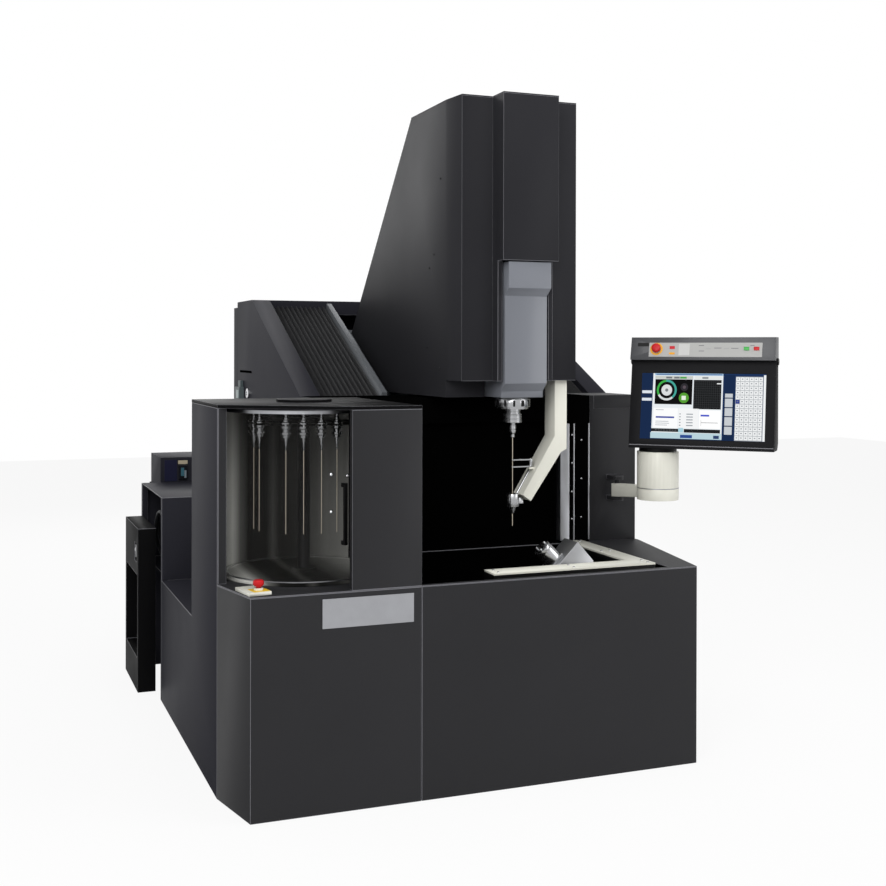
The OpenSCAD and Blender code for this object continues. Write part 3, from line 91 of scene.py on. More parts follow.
def placed(name: str, data: bpy.types.ID) -> bpy.types.Object:
    """Returns a new object that shows data in the scene."""
    obj = bpy.data.objects.new(name, data)
    bpy.context.scene.collection.objects.link(obj)
    return obj


class Axis(Enum):
    """The direction along which a grain or a turned mark runs."""

    X = 0
    Y = 1
    Z = 2


class Place:
    """Turns places in the machine's own millimetres into the row frame."""

    @staticmethod
    def row(points: np.ndarray) -> np.ndarray:
        """Returns points, an (n, 3) array in millimetres, in metres from the row's origin."""
        return (np.asarray(points, float) - [PLAN_CENTRE[0], PLAN_CENTRE[1], 0.0]) * MM

    @staticmethod
    def turned(angle: float, axis: Axis) -> np.ndarray:
        """Returns the 3 by 3 matrix that turns by angle, in radians, about axis."""
        c, s = math.cos(angle), math.sin(angle)
        i, j = [(1, 2), (2, 0), (0, 1)][axis.value]
        m = np.eye(3)
        m[i, i], m[i, j], m[j, i], m[j, j] = c, -s, s, c
        return m

    @staticmethod
    def facing(direction: Sequence[float]) -> np.ndarray:
        """Returns a matrix whose Z column is direction and whose X column is level where it can be."""
        z = np.asarray(direction, float)
        z = z / np.linalg.norm(z)
        side = np.cross([0.0, 0.0, 1.0], z)
        length = np.linalg.norm(side)
        x = side / length if length > TINY else np.array([1.0, 0.0, 0.0])
        return np.stack([x, np.cross(z, x), z], axis=1)

    @staticmethod
    def matrix(turn: np.ndarray, at: Sequence[float]) -> list[list[float]]:
        """Returns a turn and a place in metres as the rows that an object's matrix takes."""
        whole = np.eye(4)
        whole[:3, :3] = turn
        whole[:3, 3] = at
        return whole.T.tolist()


@dataclass(frozen=True)
class Seat:
    """A local frame in the machine's millimetres, such as a sloping face.

    Attributes:
        turn: 3 by 3 matrix whose columns are the frame's X, Y and Z.
        shift: the frame's origin.
    """

    turn: np.ndarray
    shift: np.ndarray

    def inside(self, turn: np.ndarray, shift: Sequence[float]) -> "Seat":
        """Returns the frame that stands turned and shifted within this one."""
        return Seat(self.turn @ turn, self.turn @ np.asarray(shift, float) + self.shift)

    def put(self, solid: "Solid") -> "Solid":
        """Returns a copy of solid moved from this frame into the machine's."""
        return solid.moved(self.turn, self.shift)


@dataclass
class Solid:
    """A mesh in millimetres, gathered from several shapes.

    Attributes:
        points: blocks of corner places.
        faces: faces as tuples of corner numbers.
        tints: one colour for each face.
        count: number of corners so far.
    """

    points: list[np.ndarray] = field(default_factory=list)
    faces: list[tuple[int, ...]] = field(default_factory=list)
    tints: list[Colour] = field(default_factory=list)
    count: int = 0

    def add(self, points: np.ndarray, faces: Iterable[Iterable[int]], tint: Colour = WHITE) -> "Solid":
        """Adds one shape's points and faces, all of one tint, and returns this solid."""
        new = [tuple(int(i) + self.count for i in face) for face in faces]
        self.points.append(np.asarray(points, float))
        self.faces.extend(new)
        self.tints.extend([tint] * len(new))
        self.count += len(points)
        return self

    def moved(self, matrix: np.ndarray, shift: Sequence[float]) -> "Solid":
        """Returns a copy turned by matrix and then moved by shift."""
        copy = Solid(faces=list(self.faces), tints=list(self.tints), count=self.count)
        copy.points = [np.concatenate(self.points) @ matrix.T + np.asarray(shift, float)]
        return copy

    def at(self, shift: Sequence[float]) -> "Solid":
        """Returns a copy moved by shift."""
        return self.moved(np.eye(3), shift)

    def join(self, other: "Solid") -> None:
        """Adds another solid's shapes to this one."""
        self.points.extend(other.points)
        self.faces.extend(tuple(i + self.count for i in face) for face in other.faces)
        self.tints.extend(other.tints)
        self.count += other.count

    def build(self, name: str, body: str | None, material: bpy.types.Material,
              smooth: float = SHARP_DEGREES, bevel: float = 0.0) -> bpy.types.Object:
        """Makes the object, in the row frame, and lets it ride on a body.

        Args:
            name: the piece's name.
            body: the body that it rides on, or None, which leaves it on no body.
            material: its finish.
            smooth: faces that meet at less than this many degrees are shaded as one.
            bevel: width of the rounded edges in millimetres, or 0.

        Returns:
            The new object.
        """
        mesh = bpy.data.meshes.new(name)
        mesh.from_pydata(Place.row(np.concatenate(self.points)), [], self.faces)
        layer = mesh.color_attributes.new("tint", "FLOAT_COLOR", "CORNER")
        tints = np.repeat(np.array(self.tints), [len(face) for face in self.faces], axis=0)
        layer.data.foreach_set("color", np.column_stack([tints, np.ones(len(tints))]).ravel())
        mesh.polygons.foreach_set("use_smooth", np.ones(len(self.faces), bool))
        mesh.set_sharp_from_angle(angle=math.radians(smooth))
        mesh.materials.append(material)
        obj = placed(name, mesh)
        if bevel:
            Dress.round_edges(obj, bevel)
        if body:
            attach(obj, body)
        log.info("built %s with %d faces on %s", name, len(self.faces), body or "two bodies")
        return obj


class Shape:
    """Surfaces worked out on whole arrays of points."""

    @staticmethod
    def skin(rows: int, columns: int, wrap: bool = True) -> np.ndarray:
        """Returns the four-cornered faces of a grid of rows by columns points.

        Face (i, j) joins points (i, j), (i, j+1), (i+1, j+1) and (i+1, j), and
        the last column joins the first where it wraps.
        """
        i, j = np.meshgrid(np.arange(rows - 1), np.arange(columns if wrap else columns - 1), indexing="ij")
        low, high, beside = i * columns, (i + 1) * columns, (j + 1) % columns
        return np.stack([low + j, low + beside, high + beside, high + j], -1).reshape(-1, 4)

    @staticmethod
    def spokes(angles: np.ndarray) -> np.ndarray:
        """Returns the cosine and the sine of each angle in radians, as rows of two."""
        return np.stack([np.cos(angles), np.sin(angles)], -1)

    @staticmethod
    def circle(sides: int) -> np.ndarray:
        """Returns the corners of a regular outline of radius 1."""
        return Shape.spokes(np.linspace(0, 2 * math.pi, sides, endpoint=False))

    @staticmethod
    def turned(profile: Sequence[Pair], sides: int = 40, tint: Colour = WHITE) -> Solid:
        """Returns the profile of (radius, height) pairs spun about Z.

        Point (i, j) is (r_i cos t_j, r_i sin t_j, h_i), with t_j even round the
        circle. An end whose radius isn't 0 is closed with one many-sided face.
        """
        p = np.array(profile, float)
        heights = np.broadcast_to(p[:, None, 1:], (len(p), sides, 1))
        points = np.concatenate([p[:, None, :1] * Shape.circle(sides), heights], -1).reshape(-1, 3)
        faces = list(Shape.skin(len(p), sides))
        if p[0, 0] > TINY:
            faces.append(range(sides)[::-1])
        if p[-1, 0] > TINY:
            faces.append(range((len(p) - 1) * sides, len(p) * sides))
        return Solid().add(points, faces, tint)

    @staticmethod
    def prism(outline: Sequence[Pair], low: float, high: float, tint: Colour = WHITE) -> Solid:
        """Returns an outline in X and Y, anticlockwise, raised from low to high along Z."""
        p = np.array(outline, float)
        n = len(p)
        points = np.concatenate([np.column_stack([p, np.full(n, z)]) for z in (low, high)])
        return Solid().add(points, [*Shape.skin(2, n), range(n)[::-1], range(n, 2 * n)], tint)

    @staticmethod
    def block(low: Sequence[float], high: Sequence[float], tint: Colour = WHITE) -> Solid:
        """Returns a box between two corners."""
        outline = [(low[0], low[1]), (high[0], low[1]), (high[0], high[1]), (low[0], high[1])]
        return Shape.prism(outline, low[2], high[2], tint)

    @staticmethod
    def blocks(boxes: Iterable[Box]) -> Solid:
        """Returns boxes joined, each given as two corners and a colour."""
        solid = Solid()
        for low, high, colour in boxes:
            solid.join(Shape.block(low, high, linear(colour)))
        return solid

    @staticmethod
    def rounded(width: float, depth: float, radius: float, steps: int = 6) -> list[Pair]:
        """Returns a rectangle's outline about the origin, its corners quarter circles of radius."""
        t = np.linspace(0, math.pi / 2, steps)
        inner = np.array([width, depth]) / 2 - radius
        corners = [inner * way + radius * Shape.spokes(t + quarter * math.pi / 2)
                   for quarter, way in enumerate(((1, 1), (-1, 1), (-1, -1), (1, -1)))]
        return [tuple(row) for row in np.concatenate(corners)]

    @staticmethod
    def tube(path: np.ndarray, radius: float, sides: int) -> Solid:
        """Returns a round tube along a path, closed at both ends.

        Each ring stands square to the path's direction there, and its start is
        carried along the path so that the tube doesn't twist.
        """
        path = np.asarray(path, float)
        d = np.gradient(path, axis=0)
        d /= np.linalg.norm(d, axis=1, keepdims=True)
        side = np.cross(d[0], [0.31, 0.22, 0.92])
        starts = []
        for step in d:
            side = side - step * (side @ step)
            side = side / np.linalg.norm(side)
            starts.append(side)
        u = np.array(starts)
        v = np.cross(d, u)
        ring = Shape.circle(sides)[None]
        rings = path[:, None] + radius * (ring[..., :1] * u[:, None] + ring[..., 1:] * v[:, None])
        last = (len(path) - 1) * sides
        ends = [range(sides)[::-1], range(last, last + sides)]
        return Solid().add(rings.reshape(-1, 3), [*Shape.skin(len(path), sides), *ends])

    @staticmethod
    def arc(radii: Pair, heights: Pair, angles: Pair, steps: int = 60) -> Solid:
        """Returns a bar bent round Z, of rectangular section, between two angles in degrees."""
        (inner, outer), (low, high) = radii, heights
        section = np.array([(inner, low), (outer, low), (outer, high), (inner, high)])
        flat = section[None, :, :1] * Shape.spokes(np.radians(np.linspace(*angles, steps)))[:, None]
        up = np.broadcast_to(section[None, :, 1:], (steps, 4, 1))
        last = (steps - 1) * 4
        faces = [*Shape.skin(steps, 4)[:, ::-1], range(4), range(last, last + 4)[::-1]]
        return Solid().add(np.concatenate([flat, up], -1).reshape(-1, 3), faces)

    @staticmethod
    def screws(places: Iterable[Sequence[float]], direction: Sequence[float], radius: float) -> Solid:
        """Returns button-headed socket screws at places, their heads towards direction.

        Each head is a profile spun about its own axis: a low dome cut by a
        socket of a third of its radius.
        """
        height = radius * 0.6
        dome = [(radius * math.cos(a), height * math.sin(a)) for a in np.linspace(0, 1.25, 5)]
        socket = [(radius * 0.33, height * 0.96), (radius * 0.33, height * 0.3)]
        head = Shape.turned([(radius, -0.2)] + dome + socket, 18)
        turn = Place.facing(direction)
        solid = Solid()
        for place in places:
            solid.join(head.moved(turn, place))
        return solid

    @staticmethod
    def curve(points: Sequence[Sequence[float]], steps: int) -> np.ndarray:
        """Returns a smooth path through points, each span a cubic between its neighbours (Catmull-Rom)."""
        p = np.array(points, float)
        p = np.concatenate([[2 * p[0] - p[1]], p, [2 * p[-1] - p[-2]]])
        t = np.linspace(0, 1, steps, endpoint=False)[:, None]
        spans = []
        for a, b, c, d in zip(p, p[1:], p[2:], p[3:]):
            spans.append(0.5 * (2 * b + (c - a) * t + (2 * a - 5 * b + 4 * c - d) * t ** 2
                                + (3 * b - a - 3 * c + d) * t ** 3))
        return np.concatenate(spans + [p[-2:-1]])


class Wire:
    """A node's output, on which sums and products add Math nodes."""

    def __init__(self, board: "Board", socket: bpy.types.NodeSocket) -> None:
        """Keeps the board that the socket's node stands on."""
        self.board = board
        self.socket = socket

    def _with(self, operation: str, other: "Wire | float") -> "Wire":
        """Returns the output of a Math node that takes this and other."""
        return self.board.wire("ShaderNodeMath", {"operation": operation}, {0: self, 1: other})

    def __add__(self, other: "Wire | float") -> "Wire":
        """Returns the sum."""
        return self._with("ADD", other)

    __radd__ = __add__

    def __sub__(self, other: "Wire | float") -> "Wire":
        """Returns the difference."""
        return self._with("SUBTRACT", other)

    def __rsub__(self, other: float) -> "Wire":
        """Returns other less this."""
        return (self * -1.0) + other

    def __mul__(self, other: "Wire | float") -> "Wire":
        """Returns the product."""
        return self._with("MULTIPLY", other)

    __rmul__ = __mul__

    def __gt__(self, other: "Wire | float") -> "Wire":
        """Returns 1 where this is larger."""
        return self._with("GREATER_THAN", other)

    def most(self, other: "Wire | float") -> "Wire":
        """Returns the larger of this and other."""
        return self._with("MAXIMUM", other)


class Board:
    """The nodes of a material or a world."""

    def __init__(self, owner: bpy.types.Material | bpy.types.World) -> None:
        """Clears the owner's nodes."""
        owner.use_nodes = True
        self.tree = owner.node_tree
        self.tree.nodes.clear()

    def node(self, kind: str, settings: dict, values: dict) -> bpy.types.Node:
        """Adds a node.

        Args:
            kind: the node's type.
            settings: properties that are set before its sockets.
            values: a number, a colour or a Wire for each socket's name or number.

        Returns:
            The node.
        """
        made = self.tree.nodes.new(kind)
        for key, value in settings.items():
            if key == "stops":
                ramp = made.color_ramp
                while len(ramp.elements) < len(value):
                    ramp.elements.new(0.5)
                for element, (place, colour) in zip(ramp.elements, value):
                    element.position = place
                    element.color = (*colour, 1.0)
            else:
                setattr(made, key, value)
        for key, value in values.items():
            if isinstance(value, Wire):
                self.tree.links.new(value.socket, made.inputs[key])
            else:
                made.inputs[key].default_value = value
        return made

    def wire(self, kind: str, settings: dict, values: dict, output: int | str = 0) -> Wire:
        """Adds a node and returns one of its outputs."""
        return Wire(self, self.node(kind, settings, values).outputs[output])

    def place(self, stretch: Sequence[float] = (1.0, 1.0, 1.0)) -> Wire:
        """Returns Object coordinates, stretched along each axis."""
        coords = self.wire("ShaderNodeTexCoord", {}, {}, "Object")
        return self.wire("ShaderNodeMapping", {}, {"Vector": coords, "Scale": tuple(stretch)})

    def along(self, axis: Axis) -> Wire:
        """Returns the place along one axis, in metres."""
        return self.wire("ShaderNodeSeparateXYZ", {}, {"Vector": self.place()}, axis.name)

    def noise(self, per_metre: float, detail: float, stretch: Sequence[float] = (1.0, 1.0, 1.0)) -> Wire:
        """Returns noise with per_metre lumps in a metre."""
        values = {"Vector": self.place(stretch), "Scale": per_metre, "Detail": detail, "Roughness": 0.55}
        return self.wire("ShaderNodeTexNoise", {}, values)

    def shade(self, amount: Wire, low: Wire | Colour, high: Wire | Colour) -> Wire:
        """Returns a colour between low and high by amount."""
        first, second = [end if isinstance(end, Wire) else (*end, 1.0) for end in (low, high)]
        return self.wire("ShaderNodeMix", {"data_type": "RGBA"}, {0: amount, 6: first, 7: second}, 2)

    def tones(self, amount: Wire, colour: str, low: float, high: float) -> Wire:
        """Returns colour times low where amount is 0 and times high where it is 1."""
        base = np.array(linear(colour))
        return self.shade(amount, tuple(base * low), tuple(np.minimum(base * high, 1.0)))

    def bump(self, height: Wire, depth: float) -> Wire:
        """Returns the normal of a surface raised by height times depth metres."""
        return self.wire("ShaderNodeBump", {}, {"Height": height, "Distance": depth, "Strength": 1.0})

    def seen(self) -> Wire:
        """Returns 1 for what a camera sees straight, in a mirror or through glass."""
        path = self.node("ShaderNodeLightPath", {}, {})
        camera, mirror, glass = [Wire(self, path.outputs[f"Is {kind} Ray"])
                                 for kind in ("Camera", "Glossy", "Transmission")]
        return camera.most(mirror).most(glass)

    def end(self, kind: str, shader: Wire) -> None:
        """Ends a Material's or a World's board with shader."""
        self.node(f"ShaderNodeOutput{kind}", {}, {0: shader})


def linear(colour: str) -> Colour:
    """Returns a colour written as rrggbb in the linear numbers that shaders take."""
    parts = np.array([int(colour[i:i + 2], 16) for i in (0, 2, 4)]) / 255
    curved = ((parts + 0.055) / 1.055) ** 2.4
    return tuple(float(v) for v in np.where(parts <= 0.04045, parts / 12.92, curved))


@dataclass(frozen=True)
class Finish:
    """What every finish has. Each kind lays out the nodes behind its own values.

    Attributes:
        name: the material's name.
        colour: its main colour, as rrggbb.
        gloss: roughness of its surface.
        shine: how strongly it mirrors, where 0.5 is a plain clear varnish.
    """

    name: str
    colour: str = "ffffff"
    gloss: float = 0.5
    shine: float = 0.5

    def make(self) -> bpy.types.Material:
        """Returns a new material whose Principled shader takes the values that lay() returns."""
        material = bpy.data.materials.new(self.name)
        board = Board(material)
        values = {"Specular IOR Level": self.shine, **self.lay(board)}
        board.end("Material", board.wire("ShaderNodeBsdfPrincipled", {}, values))
        return material

    def lay(self, board: Board) -> dict:
        """Adds the nodes to board and returns the value or Wire of each of the shader's sockets."""
        raise NotImplementedError


@dataclass(frozen=True)
class PowderCoat(Finish):
    """Sprayed powder paint: a fine orange-peel grain, with faint clouds in its gloss and colour.

    Attributes:
        grain: lumps of the grain in a metre.
        depth: height of the grain in metres.
        tones: darkest and lightest part of the colour.
        patchy: how much the clouds change the roughness.
    """

    shine: float = 0.12
    grain: float = 900.0
    depth: float = 0.00008
    tones: Pair = (0.84, 1.18)
    patchy: float = 0.14

    def lay(self, board: Board) -> dict:
        """Lays the clouds, the specks and the grain."""
        cloud = board.noise(2.2, 4.0)
        speck = board.noise(self.grain * 1.7, 2.0)
        return {"Base Color": board.tones(cloud * 0.6 + speck * 0.4, self.colour, *self.tones),
                "Roughness": cloud * self.patchy + (self.gloss - self.patchy / 2),
                "Normal": board.bump(board.noise(self.grain, 4.0), self.depth)}


@dataclass(frozen=True)
class Enamel(Finish):
    """Smooth baked enamel with soft waves, and dust that gathers in faint streaks.

    Attributes:
        dust: how much the streaks darken it.
        patchy: how much they change the roughness.
        depth: height of the waves in metres.
        varnish: weight and roughness of the clear coat.
    """

    gloss: float = 0.3
    shine: float = 0.3
    dust: float = 0.08
    patchy: float = 0.12
    depth: float = 0.00006
    varnish: Pair = (0.12, 0.15)

    def lay(self, board: Board) -> dict:
        """Lays the streaks, then long and fine waves."""
        streak = board.noise(9.0, 5.0, (1.0, 1.0, 0.2))
        wave = board.noise(60.0, 2.0) * 0.7 + board.noise(1400.0, 2.0) * 0.3
        return {"Base Color": board.tones(streak, self.colour, 1 - self.dust, 1 + self.dust / 2),
                "Roughness": streak * self.patchy + self.gloss,
                "Normal": board.bump(wave, self.depth),
                "Coat Weight": self.varnish[0],
                "Coat Roughness": self.varnish[1]}


@dataclass(frozen=True)
class CappedEnamel(Finish):
    """Enamel on the top of a part that is black below: dust streaks on the top, dull black under it.

    Attributes:
        below: the colour under it.
        edge_z: height at which the two meet, in metres.
        tones: darkest and lightest part of the enamel.
        patchy: how much the streaks change the roughness.
        depth: height of the fine grain in metres.
    """

    gloss: float = 0.35
    shine: float = 0.2
    below: str = "0a0a0a"
    edge_z: float = 0.803
    tones: Pair = (0.93, 1.03)
    patchy: float = 0.12
    depth: float = 0.00005

    def lay(self, board: Board) -> dict:
        """Lays the streaks, and the black where Z is under the edge."""
        streak = board.noise(9.0, 5.0)
        enamel = board.tones(streak, self.colour, *self.tones)
        return {"Base Color": board.shade(board.along(Axis.Z) > self.edge_z, linear(self.below), enamel),
                "Roughness": streak * self.patchy + self.gloss,
                "Normal": board.bump(board.noise(900.0, 2.0), self.depth)}


@dataclass(frozen=True)
class GroundMetal(Finish):
    """Ground or turned metal: fine lines along one axis, with stains in its gloss.

    Attributes:
        lines: the axis along which the lines run.
        fineness: lines in a metre.
        tones: darkest and lightest part of the colour.
        patchy: how much lines and stains change the roughness.
        polish: how far the smoothest part lies under the gloss.
        depth: depth of the lines in metres.
    """

    gloss: float = 0.28
    lines: Axis = Axis.X
    fineness: float = 1500.0
    tones: Pair = (0.78, 1.16)
    patchy: float = 0.22
    polish: float = 0.08
    depth: float = 0.00004

    def lay(self, board: Board) -> dict:
        """Lays the lines as noise drawn out along their axis, and the stains."""
        stretch = [1.0, 1.0, 1.0]
        stretch[self.lines.value] = 0.03
        line = board.noise(self.fineness, 3.0, stretch)
        tone = line * 0.5 + board.noise(14.0, 4.0) * 0.5
        return {"Base Color": board.tones(tone, self.colour, *self.tones),
                "Metallic": 1.0,
                "Roughness": tone * self.patchy + (self.gloss - self.polish),
                "Normal": board.bump(line, self.depth)}


@dataclass(frozen=True)
class CastPaint(Finish):
    """Primed casting: coarse lumps from the sand mould under a dull paint, depth metres high."""

    gloss: float = 0.55
    tones: Pair = (0.75, 1.2)
    depth: float = 0.0005

    def lay(self, board: Board) -> dict:
        """Lays the lumps and the clouds."""
        lump = board.noise(160.0, 6.0)
        cloud = board.noise(5.0, 3.0)
        return {"Base Color": board.tones(lump * 0.4 + cloud * 0.6, self.colour, *self.tones),
                "Roughness": cloud * 0.15 + self.gloss,
                "Normal": board.bump(lump, self.depth)}


@dataclass(frozen=True)
class PleatedCloth(Finish):
    """The bellows' coated cloth: a fine weave, depth metres high, and dull rubbed folds."""

    gloss: float = 0.45
    tones: Pair = (0.7, 1.6)
    depth: float = 0.00015

    def lay(self, board: Board) -> dict:
        """Lays the weave and the rubbing."""
        weave = board.wire("ShaderNodeTexWave", {"wave_type": "BANDS", "bands_direction": "Y"},
                           {"Vector": board.place(), "Scale": 260.0, "Distortion": 1.5, "Detail": 2.0})
        rub = board.noise(30.0, 4.0, (1.0, 0.2, 0.2))
        return {"Base Color": board.tones(rub, self.colour, *self.tones),
                "Roughness": rub * 0.2 + self.gloss,
                "Normal": board.bump(weave, self.depth)}


@dataclass(frozen=True)
class SatinLiningPaintedSheen(Finish):
    """The changer's curved lining: satin sheet with soft upright bands of painted highlight.

    The bands lie along X: the sheet's colour is a ramp of painted highlight and shade over the place
    between its two sides, with faint rolling marks on top.

    Attributes:
        left: X of the lining's left side in the row frame, in metres.
        width: width of the lining in metres.
        bands: place and brightness of each stop of the ramp, whose light bands are painted highlights.
        warmth: how much blue a band has beside its red and green.
        depth: height of the rolling marks in metres.
    """

    gloss: float = 0.55
    shine: float = 0.02
    left: float = -1.053
    width: float = 0.646
    bands: tuple[Pair, ...] = (
        (0.0, 0.2), (0.07, 0.5), (0.13, 0.6), (0.19, 0.12), (0.25, 0.012), (0.38, 0.005), (0.426, 0.05),
        (0.47, 0.008), (0.577, 0.02), (0.7, 0.09), (0.85, 0.27), (1.0, 0.32))
    warmth: float = 0.94
    depth: float = 0.0002

    def lay(self, board: Board) -> dict:
        """Lays the ramp of painted highlights and the rolling marks."""
        # painted highlight: the ramp's light bands stand for reflections on the lining
        across = (board.along(Axis.X) - self.left) * (1 / self.width)
        stops = [(place, (level, level, level * self.warmth)) for place, level in self.bands]
        rolled = board.noise(16.0, 3.0, (1.0, 1.0, 0.1))
        return {"Base Color": board.wire("ShaderNodeValToRGB", {"stops": stops}, {"Fac": across}),
                "Roughness": rolled * 0.15 + self.gloss,
                "Normal": board.bump(rolled, self.depth)}


@dataclass(frozen=True)
class ClearPlastic(Finish):
    """The curved door's clear sheet: nearly unseen, but for wiping marks that cloud it.

    Attributes:
        base: colour of the little that is seen.
        cover: least share of it that hides what is behind.
        cloudy: how much the marks add.
    """

    gloss: float = 0.25
    base: Colour = (0.06, 0.059, 0.055)
    cover: float = 0.03
    cloudy: float = 0.05

    def lay(self, board: Board) -> dict:
        """Lays the wiping marks."""
        wipe = board.noise(16.0, 4.0, (1.0, 1.0, 0.3))
        return {"Base Color": (*self.base, 1.0),
                "Roughness": wipe * 0.1 + self.gloss,
                "Alpha": wipe * self.cloudy + self.cover}


@dataclass(frozen=True)
class Moulded(Finish):
    """Moulded plastic with a fine spark-eroded grain, depth metres high."""

    gloss: float = 0.35
    shine: float = 0.15
    tones: Pair = (0.9, 1.1)
    depth: float = 0.00003

    def lay(self, board: Board) -> dict:
        """Lays the grain and the clouds."""
        cloud = board.noise(20.0, 3.0)
        return {"Base Color": board.tones(cloud, self.colour, *self.tones),
                "Roughness": cloud * 0.1 + self.gloss,
                "Normal": board.bump(board.noise(2600.0, 3.0), self.depth)}


@dataclass(frozen=True)
class Tinted(Finish):
    """A finish whose colour is each face's own tint, for plates, keys and the lit picture.

    Attributes:
        glow: strength of its own light, or 0.
        unlit: what a glowing face sends back of other light.
        depth: height of the printed dots in metres.
    """

    gloss: float = 0.35
    shine: float = 0.15
    glow: float = 0.0
    unlit: Colour = (0.002, 0.002, 0.002)
    depth: float = 0.00002

    def lay(self, board: Board) -> dict:
        """Lays the tint and the dots."""
        tint = board.wire("ShaderNodeVertexColor", {"layer_name": "tint"}, {})
        dot = board.noise(1800.0, 2.0)
        lit = {"Base Color": (*self.unlit, 1.0), "Emission Color": tint, "Emission Strength": self.glow}
        return {"Roughness": dot * 0.08 + self.gloss,
                "Normal": board.bump(dot, self.depth),
                **(lit if self.glow else {"Base Color": tint})}


class Finishes:
    """Every finish of the machine, made once."""

    def __init__(self) -> None:
        """Makes the materials."""
        self.front = PowderCoat("charcoal_coat", "28282a").make()
        # painted light: the front's charcoal paint again, made a little lighter and bluer for the side and
        # rear faces
        self.side = PowderCoat("charcoal_coat_painted_side_light", "2b2b31", shine=0.02).make()
        self.column = PowderCoat("column_coat", "29292c", shine=0.04).make()
        # painted highlight: this light gray coat on the rounded bends paints their bright edge lines
        self.edge = PowderCoat("light_gray_painted_edge_highlight_coat", "6e6e73", gloss=0.4, shine=0.25).make()
        self.black = PowderCoat("black_coat", "0b0b0c", gloss=0.55, shine=0.03).make()
        # partly the work zone's own black paint, partly painted shade: near-black with no mirror, so the deep
        # inside reads as shade
        self.dark = PowderCoat("work_zone_black_and_painted_shade_coat", "040404", gloss=0.8, shine=0.0).make()
        self.liner = SatinLiningPaintedSheen("changer_lining_painted_sheen").make()
        self.ivory = Enamel("ivory_enamel", "e2e1d6").make()
        self.table = CappedEnamel("table_enamel", "e2e1d6").make()
        self.head = Enamel("head_enamel", "70737a", gloss=0.34, dust=0.05).make()
        self.console = Enamel("console_enamel", "47484b", gloss=0.4, dust=0.05).make()
        self.steel = GroundMetal("ground_steel", "b9bbbd").make()
        self.turned = GroundMetal("turned_steel", "a9aaac", gloss=0.22, fineness=2600.0).make()
        self.holder = GroundMetal("holder_steel", "8b8c8e", gloss=0.2, fineness=2600.0).make()
        self.strip = GroundMetal("seal_strip_metal", "a3a4a8", lines=Axis.Z, gloss=0.36).make()
        self.dull = GroundMetal("dull_metal", "9a9b9d", lines=Axis.Y, gloss=0.42).make()
        self.brass = GroundMetal("electrode_brass", "d2c8b6", lines=Axis.Z, gloss=0.3).make()
        self.cast = CastPaint("primed_casting", "5b5e62").make()
        self.bellows = PleatedCloth("bellows_cloth", "18181a").make()
        self.glass = ClearPlastic("clear_door_plastic").make()
        self.frame = Moulded("pendant_frame", "161618", gloss=0.5, shine=0.08).make()
        self.grip = Moulded("grip_plastic", "0c0c0d", gloss=0.4, shine=0.12).make()
        self.hose = Moulded("hose_rubber", "202123", gloss=0.45).make()
        self.chrome = GroundMetal("polished_chrome", "dcdddf", gloss=0.18, fineness=3200.0).make()
        # painted shade: the disc's dark colour stands for the shade under the magazine's top
        self.shaded = GroundMetal("carousel_disc_painted_shade", "3a3a3b", gloss=0.4).make()
        self.blue = PowderCoat("blue_panel_coat", "1b1c33").make()
        self.red = Moulded("red_plastic", "bd1a20", gloss=0.3, shine=0.2).make()
        self.green = Moulded("green_plastic", "4aa852", gloss=0.3, shine=0.2).make()
        self.plate = Tinted("printed_plate").make()
        self.picture = Tinted("lit_picture", glow=1.0, gloss=0.3, shine=0.01).make()


class Dress:
    """Gives CAD nodes their finishes and rounded edges."""

    @staticmethod
    def round_edges(obj: bpy.types.Object, width: float, slot: int = -1) -> None:
        """Adds live modifiers that weld the mesh and round its sharp edges by width millimetres.

        Args:
            obj: the object.
            width: width of the rounding.
            slot: number of the material that the rounding takes, or -1 for its neighbours'.
        """
        weld = obj.modifiers.new("weld", "WELD")
        weld.merge_threshold = WELD_METRES
        edge = obj.modifiers.new("edge", "BEVEL")
        edge.width = width * MM
        edge.segments = 2
        edge.limit_method = "ANGLE"
        edge.angle_limit = math.radians(SHARP_DEGREES)
        edge.harden_normals = True
        edge.material = slot

    @staticmethod
    def node(frame: dict, name: str, material: bpy.types.Material, width: float = 0.0,
             edge: bpy.types.Material | None = None) -> None:
        """Gives a CAD node a finish.

        Args:
            frame: the loaded frame.
            name: the node's name.
            material: its finish.
            width: width of its rounded edges in millimetres, or 0 for none.
            edge: another finish for the rounded edges, such as the light gray coat that paints a highlight on
                them, or None.
        """
        obj = frame["nodes"][name]
        obj.data.materials.clear()
        obj.data.materials.append(material)
        if edge:
            obj.data.materials.append(edge)
        if width:
            obj.data.polygons.foreach_set("use_smooth", np.ones(len(obj.data.polygons), bool))
            Dress.round_edges(obj, width, 1 if edge else -1)
        log.info("dressed %s in %s", name, material.name)


@dataclass(frozen=True)
class Lamp:
    """A square soft lamp.

    Attributes:
        name: its name.
        at: its place in metres.
        aim: the place that it is turned to.
        size: its side in metres.
        power: its power in watts.
    """

    name: str
    at: Point
    aim: Point
    size: float
    power: float

    def build(self) -> None:
        """Adds the lamp."""
        data = bpy.data.lights.new(self.name, "AREA")
        data.size = self.size
        data.energy = self.power
        turn = Place.facing(np.array(self.at) - np.array(self.aim))
        placed(self.name, data).matrix_world = Place.matrix(turn, self.at)


